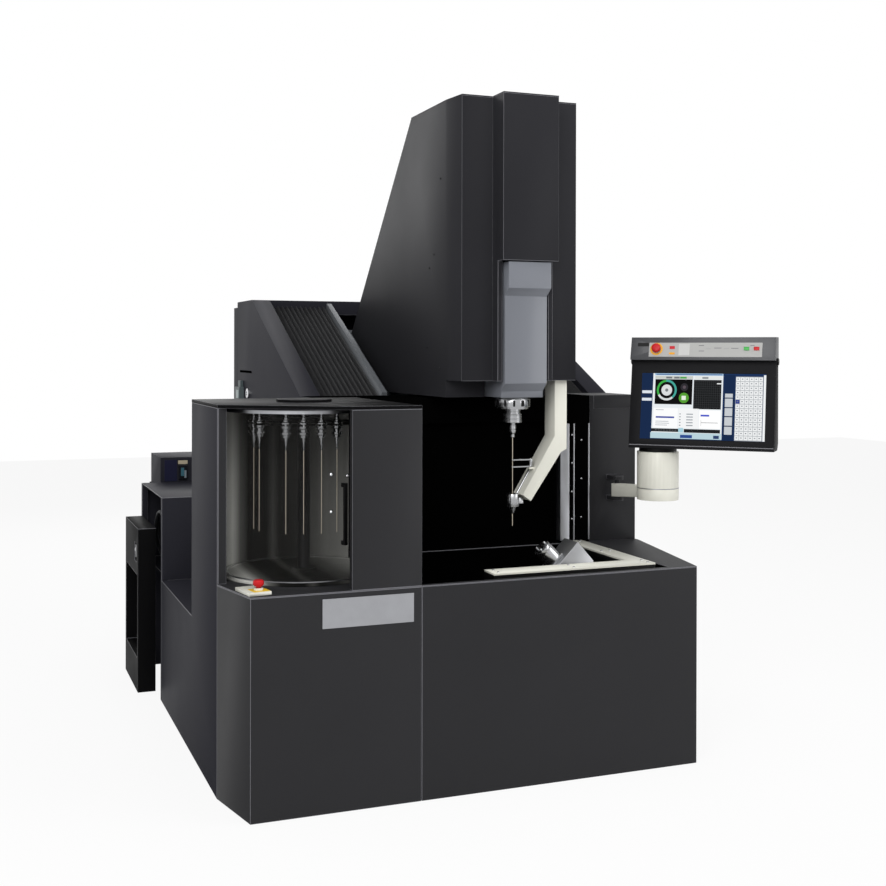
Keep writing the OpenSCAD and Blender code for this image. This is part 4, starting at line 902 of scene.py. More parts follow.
@dataclass
class Studio:
    """The floor, the lights, the world and the camera.

    Attributes:
        camera_at: the camera's place in the machine's millimetres.
        yaw: how far the camera turns to the right of straight back.
        pitch: how far it looks up.
        roll: its turn about its own axis.
        focal: focal length in pixels of the 886 pixel frame.
        horizon: height in the frame, from the top, of the point straight ahead.
        size: the frame's width and height in pixels.
        sensor: width of the camera's sensor in millimetres.
        reach: distance in metres up to which the camera sees.
        floor_half: half the floor's side in metres.
        floor_drop: how far the floor lies under the feet, in metres.
        paper: how much light the floor sends back.
        paper_share: how far the floor's own white covers the lit paper, whose rest keeps the shadow.
        soft_light: strength of the world's light where no camera looks.
        lamps: the lamps.
    """

    camera_at: Point = (-944.8, -4287.0, 1672.8)
    yaw: float = 0.3716
    pitch: float = -0.0020
    roll: float = -0.0021
    focal: float = 1231.61
    horizon: float = 353.24
    size: int = 886
    sensor: float = 36.0
    reach: float = 60.0
    floor_half: float = 14.0
    floor_drop: float = 0.0005
    paper: float = 0.86
    paper_share: float = 0.9
    soft_light: float = 0.45
    lamps: tuple[Lamp, ...] = (
        Lamp("key", (-3.0, -5.4, 4.2), (0.0, -0.6, 1.1), 3.8, 230.0),
        Lamp("fill", (4.6, -4.6, 3.2), (0.3, -0.4, 1.1), 3.6, 130.0),
        Lamp("top", (0.2, -1.2, 5.6), (0.0, 0.0, 1.0), 3.2, 60.0),
        Lamp("back", (0.5, 6.0, 4.2), (0.0, 0.4, 1.4), 3.6, 120.0))

    def camera(self) -> None:
        """Makes the camera that sees what the photograph shows."""
        data = bpy.data.cameras.new("camera")
        data.sensor_width = self.sensor
        data.lens = self.focal / self.size * data.sensor_width
        data.shift_y = (self.horizon - self.size / 2) / self.size
        data.clip_end = self.reach
        level = math.cos(self.pitch)
        ahead = np.array([math.sin(self.yaw) * level, math.cos(self.yaw) * level, math.sin(self.pitch)])
        right = np.array([math.cos(self.yaw), -math.sin(self.yaw), 0.0])
        up = np.cross(right, ahead)
        c, s = math.cos(self.roll), math.sin(self.roll)
        turn = np.stack([c * right - s * up, s * right + c * up, -ahead], axis=1)
        obj = placed("camera", data)
        obj.matrix_world = Place.matrix(turn, Place.row(np.array([self.camera_at]))[0])
        bpy.context.scene.camera = obj

    def floor(self) -> None:
        """Makes the pale floor, which a camera sees almost white but for the shadow."""
        mesh = bpy.data.meshes.new("floor")
        r, z = self.floor_half, -self.floor_drop
        mesh.from_pydata([(-r, -r, z), (r, -r, z), (r, r, z), (-r, r, z)], [], [(0, 1, 2, 3)])
        material = bpy.data.materials.new("floor_paper")
        board = Board(material)
        glow = board.wire("ShaderNodeEmission", {}, {"Color": (*WHITE, 1.0), "Strength": 1.0})
        matt = board.wire("ShaderNodeBsdfDiffuse", {}, {"Color": (self.paper, self.paper, self.paper, 1.0)})
        share = board.seen() * self.paper_share
        board.end("Material", board.wire("ShaderNodeMixShader", {}, {0: share, 1: matt, 2: glow}))
        mesh.materials.append(material)
        placed("floor", mesh)

    def world(self) -> None:
        """Makes the world: white where a camera looks, a soft gray light elsewhere."""
        world = bpy.data.worlds.new("studio")
        bpy.context.scene.world = world
        board = Board(world)
        soft = board.wire("ShaderNodeBackground", {}, {"Strength": self.soft_light})
        white = board.wire("ShaderNodeBackground", {}, {"Color": (*WHITE, 1.0), "Strength": 1.0})
        board.end("World", board.wire("ShaderNodeMixShader", {}, {0: board.seen(), 1: soft, 2: white}))

    def build(self) -> None:
        """Sets up everything round the machine."""
        bpy.context.scene.view_settings.view_transform = "Standard"
        self.camera()
        self.floor()
        self.world()
        for lamp in self.lamps:
            lamp.build()


@dataclass
class Group:
    """A sub-assembly of CAD nodes and of the pieces that are added to them.

    Attributes:
        coats: rows of a finish, the width of the rounding in millimetres or 0, the
        finish of the rounding (a lighter coat that paints a highlight on it) or nothing, and the nodes'
        names.
    """

    coats: tuple[Coat, ...] = ()

    def dress(self, frame: dict, finish: Finishes) -> None:
        """Gives each of its CAD nodes a finish."""
        for coat, width, rim, names in self.coats:
            edge = getattr(finish, rim) if rim else None
            for name in names.split():
                Dress.node(frame, name, getattr(finish, coat), width, edge)


@dataclass
class Covers(Group):
    """The sheet covers, the deck, the housings and the name plate.

    Attributes:
        plate_x: left and right end of the bare plate.
        plate_z: its lower and upper edge.
        plate_t: its thickness.
        column_side: Y and Z of the screws on each side of the column.
        column_x: for each side, X of its face and the way that it faces.
    """

    # painted highlight: the edge coat on the rims paints a bright line along each rounded bend
    # painted light: the side coat is the front's charcoal made lighter and bluer for the side and rear faces
    # the dark coat is partly black paint, partly painted shade of the deep work zone
    coats: tuple[Coat, ...] = (
        ("front", 1.6, "edge", "front_left_cover front_right_cover right_enclosure deck_plate"),
        ("front", 1.6, "edge", "magazine_housing cabinet_door"),
        ("side", 1.6, "edge", "left_side_cover right_side_cover left_cheek_cover right_cheek_cover"),
        ("side", 1.6, "edge", "rear_cover side_box rear_cabinet"),
        ("black", 1.6, "edge", "pump_cabinet magazine_top_cover"),
        ("column", 1.6, "edge", "column_left_cover column_right_cover column_front_cover column_rear_cover"),
        ("dark", 1.6, "", "rear_wall table_pedestal drop_tank"))
    plate_x: Pair = (262.0, 612.0)
    plate_z: Pair = (669.5, 776.5)
    plate_t: float = 2.0
    column_side: tuple[Pair, ...] = ((635, 2085), (690, 2030), (717, 1687), (560, 2400), (560, 1600))
    column_x: tuple[tuple[str, float, float], ...] = (("left", 931.0, -1.0), ("right", 1485.0, 1.0))

    def name_plate(self, finish: Finishes) -> None:
        """Adds the bare gray plate on the front: a flat sheet whose outline has rounded corners."""
        width = self.plate_x[1] - self.plate_x[0]
        height = self.plate_z[1] - self.plate_z[0]
        stand = Place.turned(math.pi / 2, Axis.X)
        centre = (sum(self.plate_x) / 2, 0.0, sum(self.plate_z) / 2)
        plate = Shape.prism(Shape.rounded(width, height, 2.0), 0.0, self.plate_t)
        plate.moved(stand, centre).build("name_plate", "machine", finish.strip, bevel=0.5)

    def screws(self, finish: Finishes) -> None:
        """Adds the screws that hold the column's side covers."""
        for side, x, way in self.column_x:
            heads = Shape.screws([(x, y, z) for y, z in self.column_side], (way, 0, 0), 4.5)
            heads.build(f"column_{side}_screws", "column", finish.grip)


@dataclass
class Machinery(Group):
    """The castings, the slideways, and the pleated covers.

    Attributes:
        ends: each side's name, X of its fixed end and X of the saddle's end.
        slope: angle of the slideway in degrees.
        foot: Y and Z of the slope's foot.
        run: lower and upper end up the slope.
        depth: places of the valleys and the crests off the slope.
        cloth: thickness of the cloth.
        folds: number of half folds.
        ease: how far past each end the blend between the bodies would run; the ends are worked out, but no
            blend is made.
        keen: how sharp the crests are, where 1 is a plain zigzag.
    """

    coats: tuple[Coat, ...] = (
        ("cast", 1.5, "", "bed_casting saddle column_casting"),
        ("steel", 0.0, "", "x_slideway y_slideway z_slideway levelling_feet"),
        ("bellows", 0.0, "", "left_bellows right_bellows"))
    ends: tuple[tuple[str, float, float], ...] = (("left", 539.5, 831.5), ("right", 1877.5, 1584.5))
    slope: float = 25.4
    foot: Pair = (1017.0, 1470.0)
    run: Pair = (4.0, 1052.7)
    depth: Pair = (-45.0, -15.0)
    cloth: float = 4.0
    folds: int = 24
    ease: float = 16.4
    keen: float = 0.985

    def pleats(self, finish: Finishes) -> None:
        """Folds the cloth of each side, in place of the plain one.

        The outline is a zigzag with softened crests: the arc sine of a cosine of
        the place across, scaled to the depth, with a second one a cloth's
        thickness below it. It runs straight up the slope.
        """
        seat = Seat(Place.turned(math.radians(self.slope), Axis.X), np.array([0.0, *self.foot]))
        low, high = self.depth
        for side, fixed, moving in self.ends:
            x = np.linspace(min(fixed, moving), max(fixed, moving), 8 * self.folds + 1)
            phase = math.pi * self.folds * (x - x[0]) / (x[-1] - x[0])
            wave = np.arcsin(self.keen * np.cos(phase)) * 2 / math.pi
            top = np.column_stack([x, (low + high) / 2 - wave * (high - low) / 2])
            under = top - [0.0, self.cloth]
            outline = [tuple(row) for row in np.concatenate([under, top[::-1]])]
            upright = Shape.prism(outline, -self.run[1], -self.run[0])
            cloth = upright.moved(Place.turned(math.pi / 2, Axis.X), (0, 0, 0))
            piece = seat.put(cloth).build(f"{side}_pleated_bellows", None, finish.bellows, smooth=50.0)
            way = math.copysign(self.ease, moving - fixed)
            start, end = Place.row(np.array([(fixed - way, 0.0, 0.0), (moving + way, 0.0, 0.0)]))
            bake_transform(piece)
            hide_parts(f"{side}_bellows")


@dataclass
class Head(Group):
    """The head, the spindle, the guide arm and its steady.

    Attributes:
        axis: X and Y of the spindle.
        nose: radius and height of each step of the spindle nose.
        chuck: radius and height of each step of the collet chuck.
        flange_r: radius of the housing's flange.
        flange_z: height of its middle.
        notches: number of clamping slots round it, whose shade is painted by black plates.
    """

    coats: tuple[Coat, ...] = (
        ("head", 2.5, "", "head_cover"),
        ("ivory", 2.5, "", "guide_arm"),
        ("turned", 0.4, "", "spindle_housing die_guide electrode_steady"),
        ("brass", 0.0, "", "electrode"))
    axis: Pair = (1208.0, 430.0)
    nose: tuple[Pair, ...] = (
        (20, 1371), (36, 1371.3), (39.5, 1373.5), (39.5, 1386), (38, 1387), (38, 1390), (39.5, 1391),
        (39.5, 1401), (38.2, 1402), (38.2, 1404), (39.5, 1405), (39.5, 1407.5), (37.5, 1409), (33.1, 1409.4),
        (33.1, 1417), (32, 1418), (32, 1420), (33.1, 1421), (33.1, 1429.4))
    chuck: tuple[Pair, ...] = (
        (1.7, 1308), (5, 1308.4), (9, 1311), (9, 1319), (8, 1320), (8, 1323), (9.6, 1325), (14.5, 1336),
        (14.5, 1341), (13, 1342), (13, 1345), (14.5, 1346), (14.5, 1361), (12, 1363), (12, 1370.9))
    flange_r: float = 74.0
    flange_z: float = 1455.0
    notches: int = 12

    def spindle(self, finish: Finishes) -> None:
        """Turns the nose and the chuck with their grooves, in place of the plain ones."""
        shift = (*self.axis, 0.0)
        for name, profile in (("spindle_nose", self.nose), ("collet_chuck", self.chuck)):
            turned = Shape.turned(profile, 64).at(shift)
            piece = turned.build(f"turned_{name}", "spindle", finish.turned, smooth=28.0)
            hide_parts(name)

    def flange(self, finish: Finishes) -> None:
        """Adds the clamping slots round the flange as painted shade: each a thin black plate let into its
        rim.
        """
        solid = Solid()
        for k in range(self.notches):
            a = 2 * math.pi * (k + 0.35) / self.notches
            wide = 9.0 if k % 3 else 15.0
            bar = Shape.block((-1.0, -wide / 2, -13.0), (0.5, wide / 2, 13.0))
            x, y = self.flange_r * math.cos(a), self.flange_r * math.sin(a)
            at = (self.axis[0] + x, self.axis[1] + y, self.flange_z)
            solid.join(bar.moved(Place.turned(a, Axis.Z), at))
        solid.build("flange_slot_painted_shade", "head", finish.grip)


@dataclass
class Magazine(Group):
    """The electrode magazine with its curved door.

    Attributes:
        centre: X and Y of the carousel.
        disc_z: height of its disc.
        pitch_r: radius on which the holders hang.
        turns: places of the loaded holders, in steps round the disc.
        step: angle of a step in degrees.
        first: angle of the place numbered 0 in degrees.
        holder: radius and height of each step of a holder, from its disc.
        glass_r: outer radius of the door.
        door_z: lower and upper edge of the door.
        door_a: its two ends in degrees.
    """

    coats: tuple[Coat, ...] = (
        ("shaded", 0.4, "", "carousel_disc"),
        ("liner", 0.6, "", "magazine_liner"),
        ("brass", 0.0, "", "stored_electrodes"),
        ("glass", 0.0, "", "magazine_door"),
        ("grip", 2.0, "", "door_handle"),
        ("ivory", 0.6, "", "estop_plate"),
        ("red", 1.0, "", "magazine_estop_button"))
    centre: Pair = (310.0, 445.0)
    disc_z: float = 1385.0
    pitch_r: float = 197.0
    turns: tuple[int, ...] = (-4, -3, -1, 0, 1, 2)
    step: float = 20.0
    first: float = -104.9
    holder: tuple[Pair, ...] = (
        (1.8, -92), (3, -74), (4.4, -70), (5, -62), (7.5, -50), (8, -44.5), (13, -44), (15, -43), (15, -35),
        (13.4, -34), (13.4, -33), (20, -32.6), (21, -31.6), (21, -24), (20, -23), (14, -22.6), (14, -12),
        (16, -11), (21, -9), (22, -8.4), (22, -6), (19.5, -5.4), (19.5, -3.6), (22, -3), (22, -0.2), (9, 0),
        (9, 8.1), (21.6, 8.2), (22, 9), (22, 14), (20.5, 16.6), (12.5, 17), (12.5, 23), (8, 25), (8, 33),
        (6, 35), (6, 42), (8.6, 43), (8.6, 47), (6, 51), (5.6, 56))
    glass_r: float = 310.0
    door_z: Pair = (812.0, 1450.0)
    door_a: Pair = (171.0, 290.0)

    def seat(self, angle: float, radius: float, z: float) -> Point:
        """Returns the place at an angle in degrees and a radius round the carousel."""
        a = math.radians(angle)
        return (self.centre[0] + radius * math.cos(a), self.centre[1] + radius * math.sin(a), z)

    def holders(self, finish: Finishes) -> None:
        """Turns the holders with their flanges and grooves, in place of the plain ones."""
        solid = Solid()
        holder = Shape.turned(self.holder, 40)
        for k in self.turns:
            solid.join(holder.at(self.seat(k * self.step + self.first, self.pitch_r, self.disc_z)))
        piece = solid.build("turned_tool_holders", "carousel", finish.holder, smooth=28.0)
        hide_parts("tool_holders")

    def rims(self, finish: Finishes) -> None:
        """Adds the door's bright rims and end strips, the ring on the floor pan and the screws."""
        shift = (*self.centre, 0.0)
        low, high = self.door_z
        a0, a1 = self.door_a
        r = self.glass_r
        rims = Shape.arc((r - 0.1, r + 1.2), (low, low + 4), (a0, a1))
        rims.join(Shape.arc((r - 0.1, r + 1.4), (high - 13, high - 0.4), (a0, a1)))
        for a, half in ((a0 + 2.0, 1.9), (a1 - 0.5, 0.45)):
            rims.join(Shape.arc((r - 0.1, r + 1.5), (low, high - 0.4), (a - half, a + half), 5))
        rims.at(shift).build("door_rims", "sliding_door", finish.strip)
        ring = Shape.arc((296.0, 299.5), (811.4, 813.0), (0.0, 359.0), 90)
        ring.at(shift).build("pan_ring", "machine", finish.chrome)
        studs = Solid()
        for a, z in ((274.5, 1211.0), (274.5, 1072.0), (287.2, 1203.0)):
            out = (math.cos(math.radians(a)), math.sin(math.radians(a)), 0.0)
            studs.join(Shape.screws([self.seat(a, r, z)], out, 7.0))
        studs.build("door_studs", "sliding_door", finish.chrome)
        pan = Shape.screws([self.seat(a, 303.0, 811.6) for a in (205, 235, 265, 285)], (0, 0, 1), 4.0)
        pan.build("pan_screws", "machine", finish.chrome)

    def warning_card(self, finish: Finishes) -> None:
        """Adds the yellow square under the emergency stop."""
        turn = Place.turned(math.radians(10.4), Axis.Z)
        card = Shape.prism(Shape.rounded(62.0, 62.0, 3.0), 0.0, 0.8, linear("e9c22a"))
        card = card.at((52.0, 40.0, 812.0)).moved(turn, (2.0, 22.0, 0.0))
        card.build("estop_card", "machine", finish.plate)


@dataclass
class WorkZone(Group):
    """The table, the tank's seals and the rotary unit.

    Attributes:
        wall_y: front of the work zone's rear wall.
        wall_screws: X and Z of the screws on its track plate.
        table_z: height of the table's top.
        table_screws: X and Y of the screws in it.
    """

    coats: tuple[Coat, ...] = (
        ("table", 1.5, "", "table_frame"),
        ("strip", 0.4, "", "seal_strips"),
        ("dull", 1.0, "", "rotary_bracket"),
        ("turned", 0.6, "", "rotary_unit faceplate"))
    wall_y: float = 735.0
    wall_screws: tuple[Pair, ...] = (
        (1645, 1290), (1693, 1266), (1645, 1162), (1645, 1031), (1692, 913), (1645, 907), (1693, 1090))
    table_z: float = 810.0
    table_screws: tuple[Pair, ...] = (
        (1000, 104), (1000, 154), (1330, 104), (1330, 154), (1668, 104), (1668, 154), (1626, 420),
        (1668, 420), (1626, 700), (1668, 700))

    def screws(self, finish: Finishes) -> None:
        """Adds the screws of the track plate and of the table."""
        wall = Shape.screws([(x, self.wall_y, z) for x, z in self.wall_screws], (0, -1, 0), 5.0)
        wall.build("track_screws", "machine", finish.turned)
        table = Shape.screws([(x, y, self.table_z) for x, y in self.table_screws], (0, 0, 1), 6.0)
        table.build("table_screws", "machine", finish.turned)


@dataclass
class Picture:
    """The screen's drawn picture, in its own units: 1220 across and 632 up.

    Attributes:
        width: units across.
        height: units up.
        lift: how far each layer stands above the last, in millimetres.
        solid: what has been drawn.
        layer: number of the layer that is drawn on.
    """

    width: float = 1220.0
    height: float = 632.0
    lift: float = 0.03
    solid: Solid = field(default_factory=Solid)
    layer: int = 0

    def areas(self, *rows: tuple[float, float, float, float, str]) -> None:
        """Adds rectangles, each given as two places across, two down from the top and a colour."""
        z, h = self.lift * self.layer, self.height
        for x0, x1, top, low, colour in rows:
            corners = np.array([(x0, h - low, z), (x1, h - low, z), (x1, h - top, z), (x0, h - top, z)])
            self.solid.add(corners, [range(4)], linear(colour))

    def rise(self) -> None:
        """Puts what follows on the next layer."""
        self.layer += 1

    def sectors(self, *rows: tuple[Pair, Pair, Pair, str]) -> None:
        """Adds parts of rings, each given as a centre, two radii, two angles in degrees and a colour."""
        for (x, down), radii, angles, colour in rows:
            ring = Shape.spokes(np.radians(np.linspace(*angles, 24)))
            z = np.full(len(ring), self.lift * self.layer)
            edges = [np.column_stack([np.array([x, self.height - down]) + r * ring, z]) for r in radii]
            faces = Shape.skin(2, len(ring), wrap=False)[:, ::-1]
            self.solid.add(np.concatenate(edges), faces, linear(colour))

    def frame(self) -> None:
        """Draws the desktop: the side bars, the window, its panels and the bottom bar."""
        self.areas((0, 1220, 0, 632, "16305a"))
        self.rise()
        self.areas((3, 108, 4, 628, "14284a"), (113, 808, 0, 626, "e9eef2"), (818, 923, 10, 630, "12274a"),
                   (931, 1193, 26, 630, "b3b7ba"), (1198, 1220, 10, 630, "f2f4f5"))
        self.rise()
        self.areas(
            (6, 105, 168, 195, "dfe6ee"), (6, 105, 240, 267, "dfe6ee"), (128, 808, 0, 20, "a5c4df"),
            (133, 512, 25, 53, "c9ccc6"), (530, 793, 25, 53, "e3e6e4"), (135, 508, 57, 298, "060607"),
            (521, 793, 60, 340, "17181a"), (128, 373, 335, 525, "fbfcfd"), (378, 578, 335, 525, "f4f5f6"),
            (583, 793, 350, 525, "ffffff"), (111, 383, 532, 562, "1b1d1f"), (438, 793, 532, 566, "1b1d1f"),
            (383, 433, 520, 566, "a8cfdc"), (105, 803, 570, 626, "b9d3dc"))
        self.rise()

    def contents(self) -> None:
        """Draws the gauges, the grid, the lists and the graph."""
        self.areas((143, 798, 6, 14, "35578f"), (243, 303, 32, 50, "74777b"), (323, 378, 32, 50, "74777b"),
                   (383, 448, 32, 50, "4aa34c"), (603, 663, 32, 50, "8e9296"))
        for k in range(13):
            self.areas((530 + k * 20.5, 532 + k * 20.5, 60, 340, "3d4042"))
        for k in range(12):
            self.areas((521, 793, 76 + k * 22, 78 + k * 22, "3d4042"))
        for y in range(385, 520, 27):
            self.areas((388, 403, y, y + 9, "8b9197"), (458, 523, y, y + 10, "9aa0a6"))
        for y, x1 in ((350, 230), (460, 283), (478, 290), (496, 270)):
            self.areas((150, x1, y, y + 6, "aab0b6"))
        self.areas(
            (153, 338, 415, 431, "3a4aa0"), (598, 683, 392, 409, "4a57c8"), (603, 605, 440, 500, "55585c"),
            (603, 768, 466, 470, "55585c"), (403, 521, 588, 618, "2a4a8e"), (728, 783, 588, 618, "2a3f6a"))
        for x in range(150, 374, 28):
            self.areas((x, x + 18, 541, 553, "4b4f53"))
        gauge, lens, lamp, whole = (253, 162), (428, 132), (426, 235), (0, 360)
        self.sectors((gauge, (80, 100), (95, 210), "3fae49"), (gauge, (80, 100), (-50, 95), "45a89a"),
                     (gauge, (80, 100), (210, 310), "d9dcdd"), (gauge, (0.1, 54), whole, "dcdedf"),
                     (lens, (0.1, 38), whole, "2d2b30"), (lamp, (0.1, 50), whole, "539d30"))
        self.rise()
        self.sectors((gauge, (0.1, 16), whole, "7d8184"), (lens, (0.1, 16), whole, "5a4f57"))
        self.areas((404, 446, 215, 255, "e6efe0"), (748, 793, 90, 100, "f0f2f3"))

    def keys(self) -> None:
        """Draws the column of buttons and the keyboard."""
        for top, low in ((188, 225), (235, 315), (325, 400), (410, 490), (500, 575)):
            self.areas((831, 905, top, low, "c6cbd0"))
        places = [(row, column) for row in range(14) for column in range(6)]
        for row, column in places:
            x, y = 934 + column * 43.4, 32 + row * 42.6
            colour = "2f3f8e" if (row, column) == (5, 0) else "eef0f1"
            self.areas((x, x + 38, y, y + 36, colour))
        self.rise()
        for row, column in places:
            x, y = 945 + column * 43.4, 44 + row * 42.6
            self.areas((x, x + 14, y, y + 9, "80858a"))


@dataclass
class Pendant(Group):
    """The control pendant with its lit screen and keys.

    Attributes:
        post: X and Y of its post.
        angle: the angle at which it stands, in degrees.
        face_foot: Y and Z of the lower edge of its screen face, in its own frame.
        face_lean: how far the face leans back, in degrees.
        screen_s: left and right end of the screen along the pendant.
        screen_v: its lower and upper edge up the face.
        key_foot: Y and Z of the middle of the console's face.
        key_lean: how far that face leans back, in degrees.
        plate_s: left and right end of the key plate.
        plate_v: its lower and upper edge.
        estop_s: place of the emergency stop along the console.
        marks: left, right, lower and upper edge and colour of each lamp, card or printed line.
        line_wide: a mark wider than this is a lamp or a card.
        lamp_high: height of a lamp's or the card's face.
        print_high: height of a printed line's.
    """

    coats: tuple[Coat, ...] = (
        ("ivory", 1.2, "", "pendant_arm pendant_post"),
        ("frame", 1.5, "", "pendant_housing"),
        ("console", 1.2, "", "pendant_console"),
        ("grip", 0.0, "", "pendant_screen"),
        ("red", 1.0, "", "pendant_estop_button"),
        ("green", 0.6, "", "green_button"),
        ("red", 0.6, "", "red_button"))
    post: Pair = (1842.0, 315.0)
    angle: float = -44.2
    face_foot: Pair = (-95.0, 1275.0)
    face_lean: float = 9.591
    screen_s: Pair = (-57.0, 462.0)
    screen_v: Pair = (28.0, 308.0)
    key_foot: Pair = (-54.512, 1684.0)
    key_lean: float = 16.821
    plate_s: Pair = (-26.0, 447.0)
    plate_v: Pair = (-36.0, 26.0)
    estop_s: float = 6.0
    marks: tuple[tuple[float, float, float, float, str], ...] = (
        (62, 84, -2, 11, "c22430"), (61, 85, -26, -17, "e8a42a"), (101, 147, -29, 21, "c6c6c4"),
        (105, 143, 8, 11, "b9bab8"), (105, 143, -7, -4, "b9bab8"), (185, 207, 12, 15, "77787a"),
        (186, 208, -12, -9, "77787a"), (250, 280, 1, 4, "77787a"), (320, 350, 0, 3, "77787a"),
        (398, 415, 12, 15, "77787a"), (215, 235, -2, 0, "9a9b9d"), (290, 312, -1, 1, "9a9b9d"))
    line_wide: float = 6.0
    lamp_high: float = 1.2
    print_high: float = 0.75

    def stand(self) -> Seat:
        """Returns the pendant's own frame, turned about its post."""
        return Seat(Place.turned(math.radians(self.angle), Axis.Z), np.array([*self.post, 0.0]))

    def seat(self, foot: Pair, lean: float) -> Seat:
        """Returns a face's frame: X along the pendant, Y up the face, Z out of it."""
        return self.stand().inside(Place.turned(math.radians(90 - lean), Axis.X), (0.0, *foot))

    def screen(self, finish: Finishes) -> None:
        """Lays the drawn picture on the screen, one millimetre above the face."""
        picture = Picture()
        picture.frame()
        picture.contents()
        picture.keys()
        width = self.screen_s[1] - self.screen_s[0]
        height = self.screen_v[1] - self.screen_v[0]
        scale = np.diag([width / picture.width, height / picture.height, 1.0])
        flat = picture.solid.moved(scale, (self.screen_s[0], self.screen_v[0], 1.05))
        self.seat(self.face_foot, self.face_lean).put(flat).build("screen_picture", "pendant", finish.picture)

    def trim(self, finish: Finishes) -> None:
        """Adds the gray sill under the screen, and the black collar and the thin joint ring of the post."""
        seat = self.seat(self.face_foot, self.face_lean)
        sill = Shape.block((-103.0, -1.0, 0.0), (498.0, 2.5, 1.2))
        seat.put(sill).build("screen_sill", "pendant", finish.edge, bevel=0.4)
        foot = (*self.post, 0.0)
        collar = Shape.turned([(76.2, 1244.0), (80.0, 1244.6), (80.0, 1261.4)], 64)
        collar.at(foot).build("post_collar", "pendant", finish.grip)
        joint = Shape.turned([(89.02, 1085.6), (89.4, 1086.2), (89.4, 1088.8), (89.02, 1089.4)], 96)
        joint.at(foot).build("post_joint", "pendant", finish.dull)

    def console(self, finish: Finishes) -> None:
        """Adds the key plate, the lamps, the card, the printed marks and the side knobs."""
        s0, s1 = self.plate_s
        v0, v1 = self.plate_v
        solid = Solid()
        sheet = Shape.prism(Shape.rounded(s1 - s0, v1 - v0, 2.0), 0.0, 0.6, linear("aeaeac"))
        solid.join(sheet.at(((s0 + s1) / 2, (v0 + v1) / 2, 0.0)))
        for x0, x1, y0, y1, colour in self.marks:
            high = self.lamp_high if y1 - y0 > self.line_wide else self.print_high
            solid.join(Shape.block((x0, y0, 0.5), (x1, y1, high), linear(colour)))
        solid.join(Shape.block((-76, 10, 0.0), (-28, 25, 0.6), linear("0b0b0c")))
        ring = Shape.turned([(27.0, 0.3), (27.0, 1.4), (19.6, 1.4), (19.6, 0.3)], 48, linear("e8a92a"))
        solid.join(ring.at((self.estop_s, -2.0, 0.0)))
        self.seat(self.key_foot, self.key_lean).put(solid).build("key_plate", "pendant", finish.plate)
        knobs = Solid()
        knob = Shape.turned([(15.0, 0.0), (15.0, 6.0), (13.0, 8.0)], 28)
        for s, way in ((-105.0, -1), (500.0, 1)):
            knobs.join(knob.moved(Place.facing((way, 0, 0)), (s, -10.0, 1630.0)))
        self.stand().put(knobs).build("side_knobs", "pendant", finish.grip, bevel=0.6)


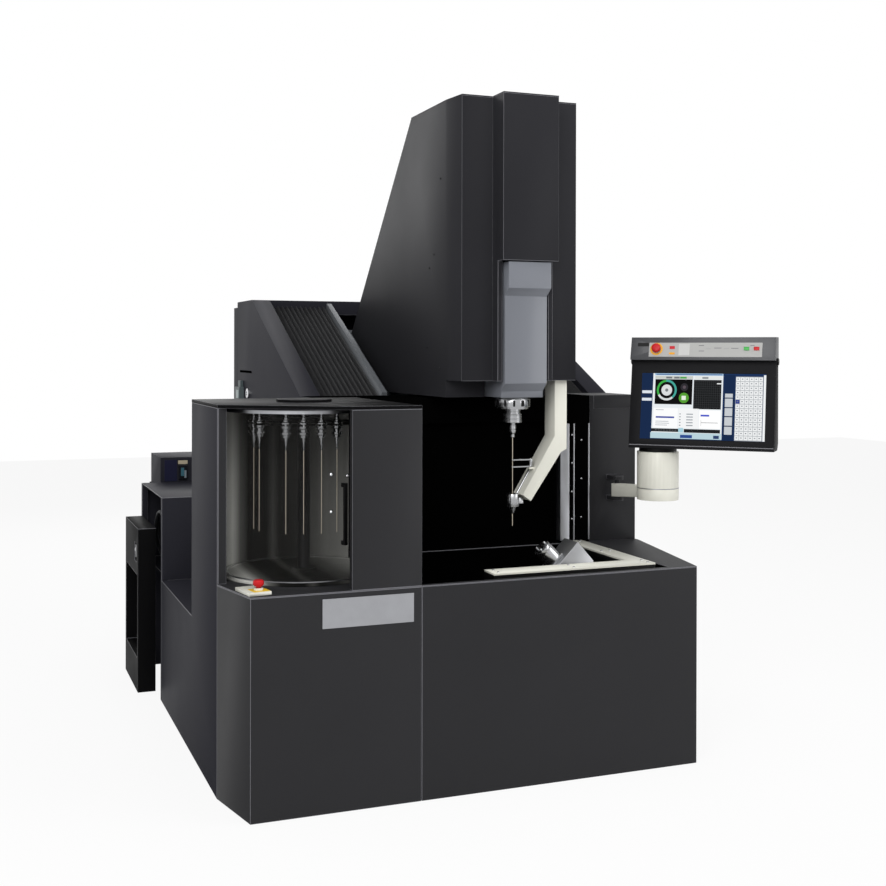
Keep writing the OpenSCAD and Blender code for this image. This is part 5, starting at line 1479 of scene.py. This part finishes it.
@dataclass
class Services:
    """What is fitted at the left: hoses in the side box, the cabinet's panel and the cheek's connector.

    Attributes:
        hose_d: diameter of the hoses.
        nut: radius and height of each step of a hose's fitting.
        hoses: points that each hose passes, from its first fitting to its second.
        panel: corners and colour of the rear cabinet's blue panel.
        socket: boxes of the socket beside it, and of its label.
        slot: the grip slot in the left cheek, a thin black plate of painted shade.
        connector: boxes of the air connector on it.
        gland: radius and height of each step of the gland beside the connector.
        latch: boxes of the latch on the pump cabinet.
    """

    hose_d: float = 19.0
    nut: tuple[Pair, ...] = ((16.0, 0.0), (16.0, 10.0), (13.0, 12.0), (13.0, 26.0), (11.0, 28.0))
    hoses: tuple[tuple[Point, ...], ...] = (
        ((60, 1760, 578), (30, 1765, 700), (-18, 1800, 840), (-36, 1900, 872), (-36, 2020, 800),
         (-20, 2110, 700), (30, 2140, 578)),
        ((100, 1860, 578), (60, 1870, 690), (5, 1930, 790), (-8, 2040, 850), (-8, 2160, 800),
         (20, 2235, 680), (60, 2250, 578)),
        ((150, 1720, 578), (110, 1726, 680), (40, 1740, 780), (0, 1800, 770), (0, 1880, 690),
         (40, 1950, 620), (70, 1980, 578)))
    panel: tuple[Box, ...] = (((58.0, 2374.5, 972.0), (124.0, 2377.0, 1086.0), "ffffff"),)
    socket: tuple[Box, ...] = (
        ((130.0, 2375.5, 1062.0), (180.0, 2377.0, 1082.0), "b9ae97"),
        ((132.0, 2358.0, 984.0), (176.0, 2377.0, 1056.0), "14161c"),
        ((142.0, 2352.0, 1000.0), (158.0, 2358.0, 1044.0), "3f6a78"),
        ((160.0, 2353.0, 990.0), (170.0, 2358.0, 1030.0), "7f8b94"))
    slot: tuple[Box, ...] = (((442.0, 1992.0, 1555.0), (443.2, 2276.0, 1567.0), "ffffff"),)
    connector: tuple[Box, ...] = (
        ((418.0, 2180.0, 1406.0), (443.0, 2296.0, 1478.0), "565f61"),
        ((428.0, 2200.0, 1478.0), (443.0, 2260.0, 1512.0), "4f5a5c"),
        ((412.0, 2196.0, 1420.0), (418.0, 2232.0, 1462.0), "b9c4c4"))
    gland: tuple[Pair, ...] = ((26.0, 0.0), (26.0, 9.0), (22.0, 12.0), (12.0, 12.0), (12.0, 5.0))
    latch: tuple[Box, ...] = (
        ((-147.5, 1930.0, 650.0), (-137.0, 1942.0, 712.0), "ffffff"),
        ((-147.5, 1958.0, 676.0), (-139.0, 1974.0, 692.0), "ffffff"))

    def pipes(self, finish: Finishes) -> None:
        """Lays the hoses in the side box and gives each end its fitting."""
        nut = Shape.turned(self.nut, 6)
        for number, points in enumerate(self.hoses, 1):
            path = Shape.curve(points, 14)
            tube = Shape.tube(path, self.hose_d / 2, 18)
            hose = tube.build(f"hose_{number}", "machine", finish.hose, smooth=60.0)
            row = Place.row(path)
            fittings = Solid()
            for end in (points[0], points[-1]):
                fittings.join(nut.at(end))
            fittings.build(f"hose_{number}_fittings", "machine", finish.dull, smooth=20.0, bevel=0.5)

    def fitted(self, finish: Finishes) -> None:
        """Adds the blue panel, the socket and its label, the cheek's slot as a black plate of painted shade,
        its connector, and the latch.
        """
        Shape.blocks(self.panel).build("cabinet_panel", "machine", finish.blue, bevel=0.8)
        Shape.blocks(self.socket).build("cabinet_socket", "machine", finish.plate, bevel=0.5)
        # painted shade: a thin black plate stands for the slot's shaded recess
        Shape.blocks(self.slot).build("cheek_slot_painted_shade", "machine", finish.dark)
        Shape.blocks(self.connector).build("air_connector", "machine", finish.plate, bevel=1.0)
        gland = Shape.turned(self.gland, 32).moved(Place.facing((-1, 0, 0)), (443.0, 2060.0, 1449.0))
        gland.build("air_gland", "machine", finish.chrome)
        Shape.blocks(self.latch).build("pump_latch", "machine", finish.turned, bevel=1.5)


def main() -> None:
    """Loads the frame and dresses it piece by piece."""
    logging.basicConfig(level=logging.INFO, format="%(message)s")
    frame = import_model()
    finish = Finishes()
    Studio().build()
    covers, machinery, head, magazine, zone, pendant = groups = (
        Covers(), Machinery(), Head(), Magazine(), WorkZone(), Pendant())
    for group in groups:
        group.dress(frame, finish)
    services = Services()
    steps: tuple[Callable[[Finishes], None], ...] = (
        covers.name_plate, covers.screws, machinery.pleats, head.spindle, head.flange, magazine.holders,
        magazine.rims, magazine.warning_card, zone.screws, pendant.screen, pendant.trim, pendant.console,
        services.pipes, services.fitted)
    for step in steps:
        step(finish)


if __name__ == "__main__":
    main()
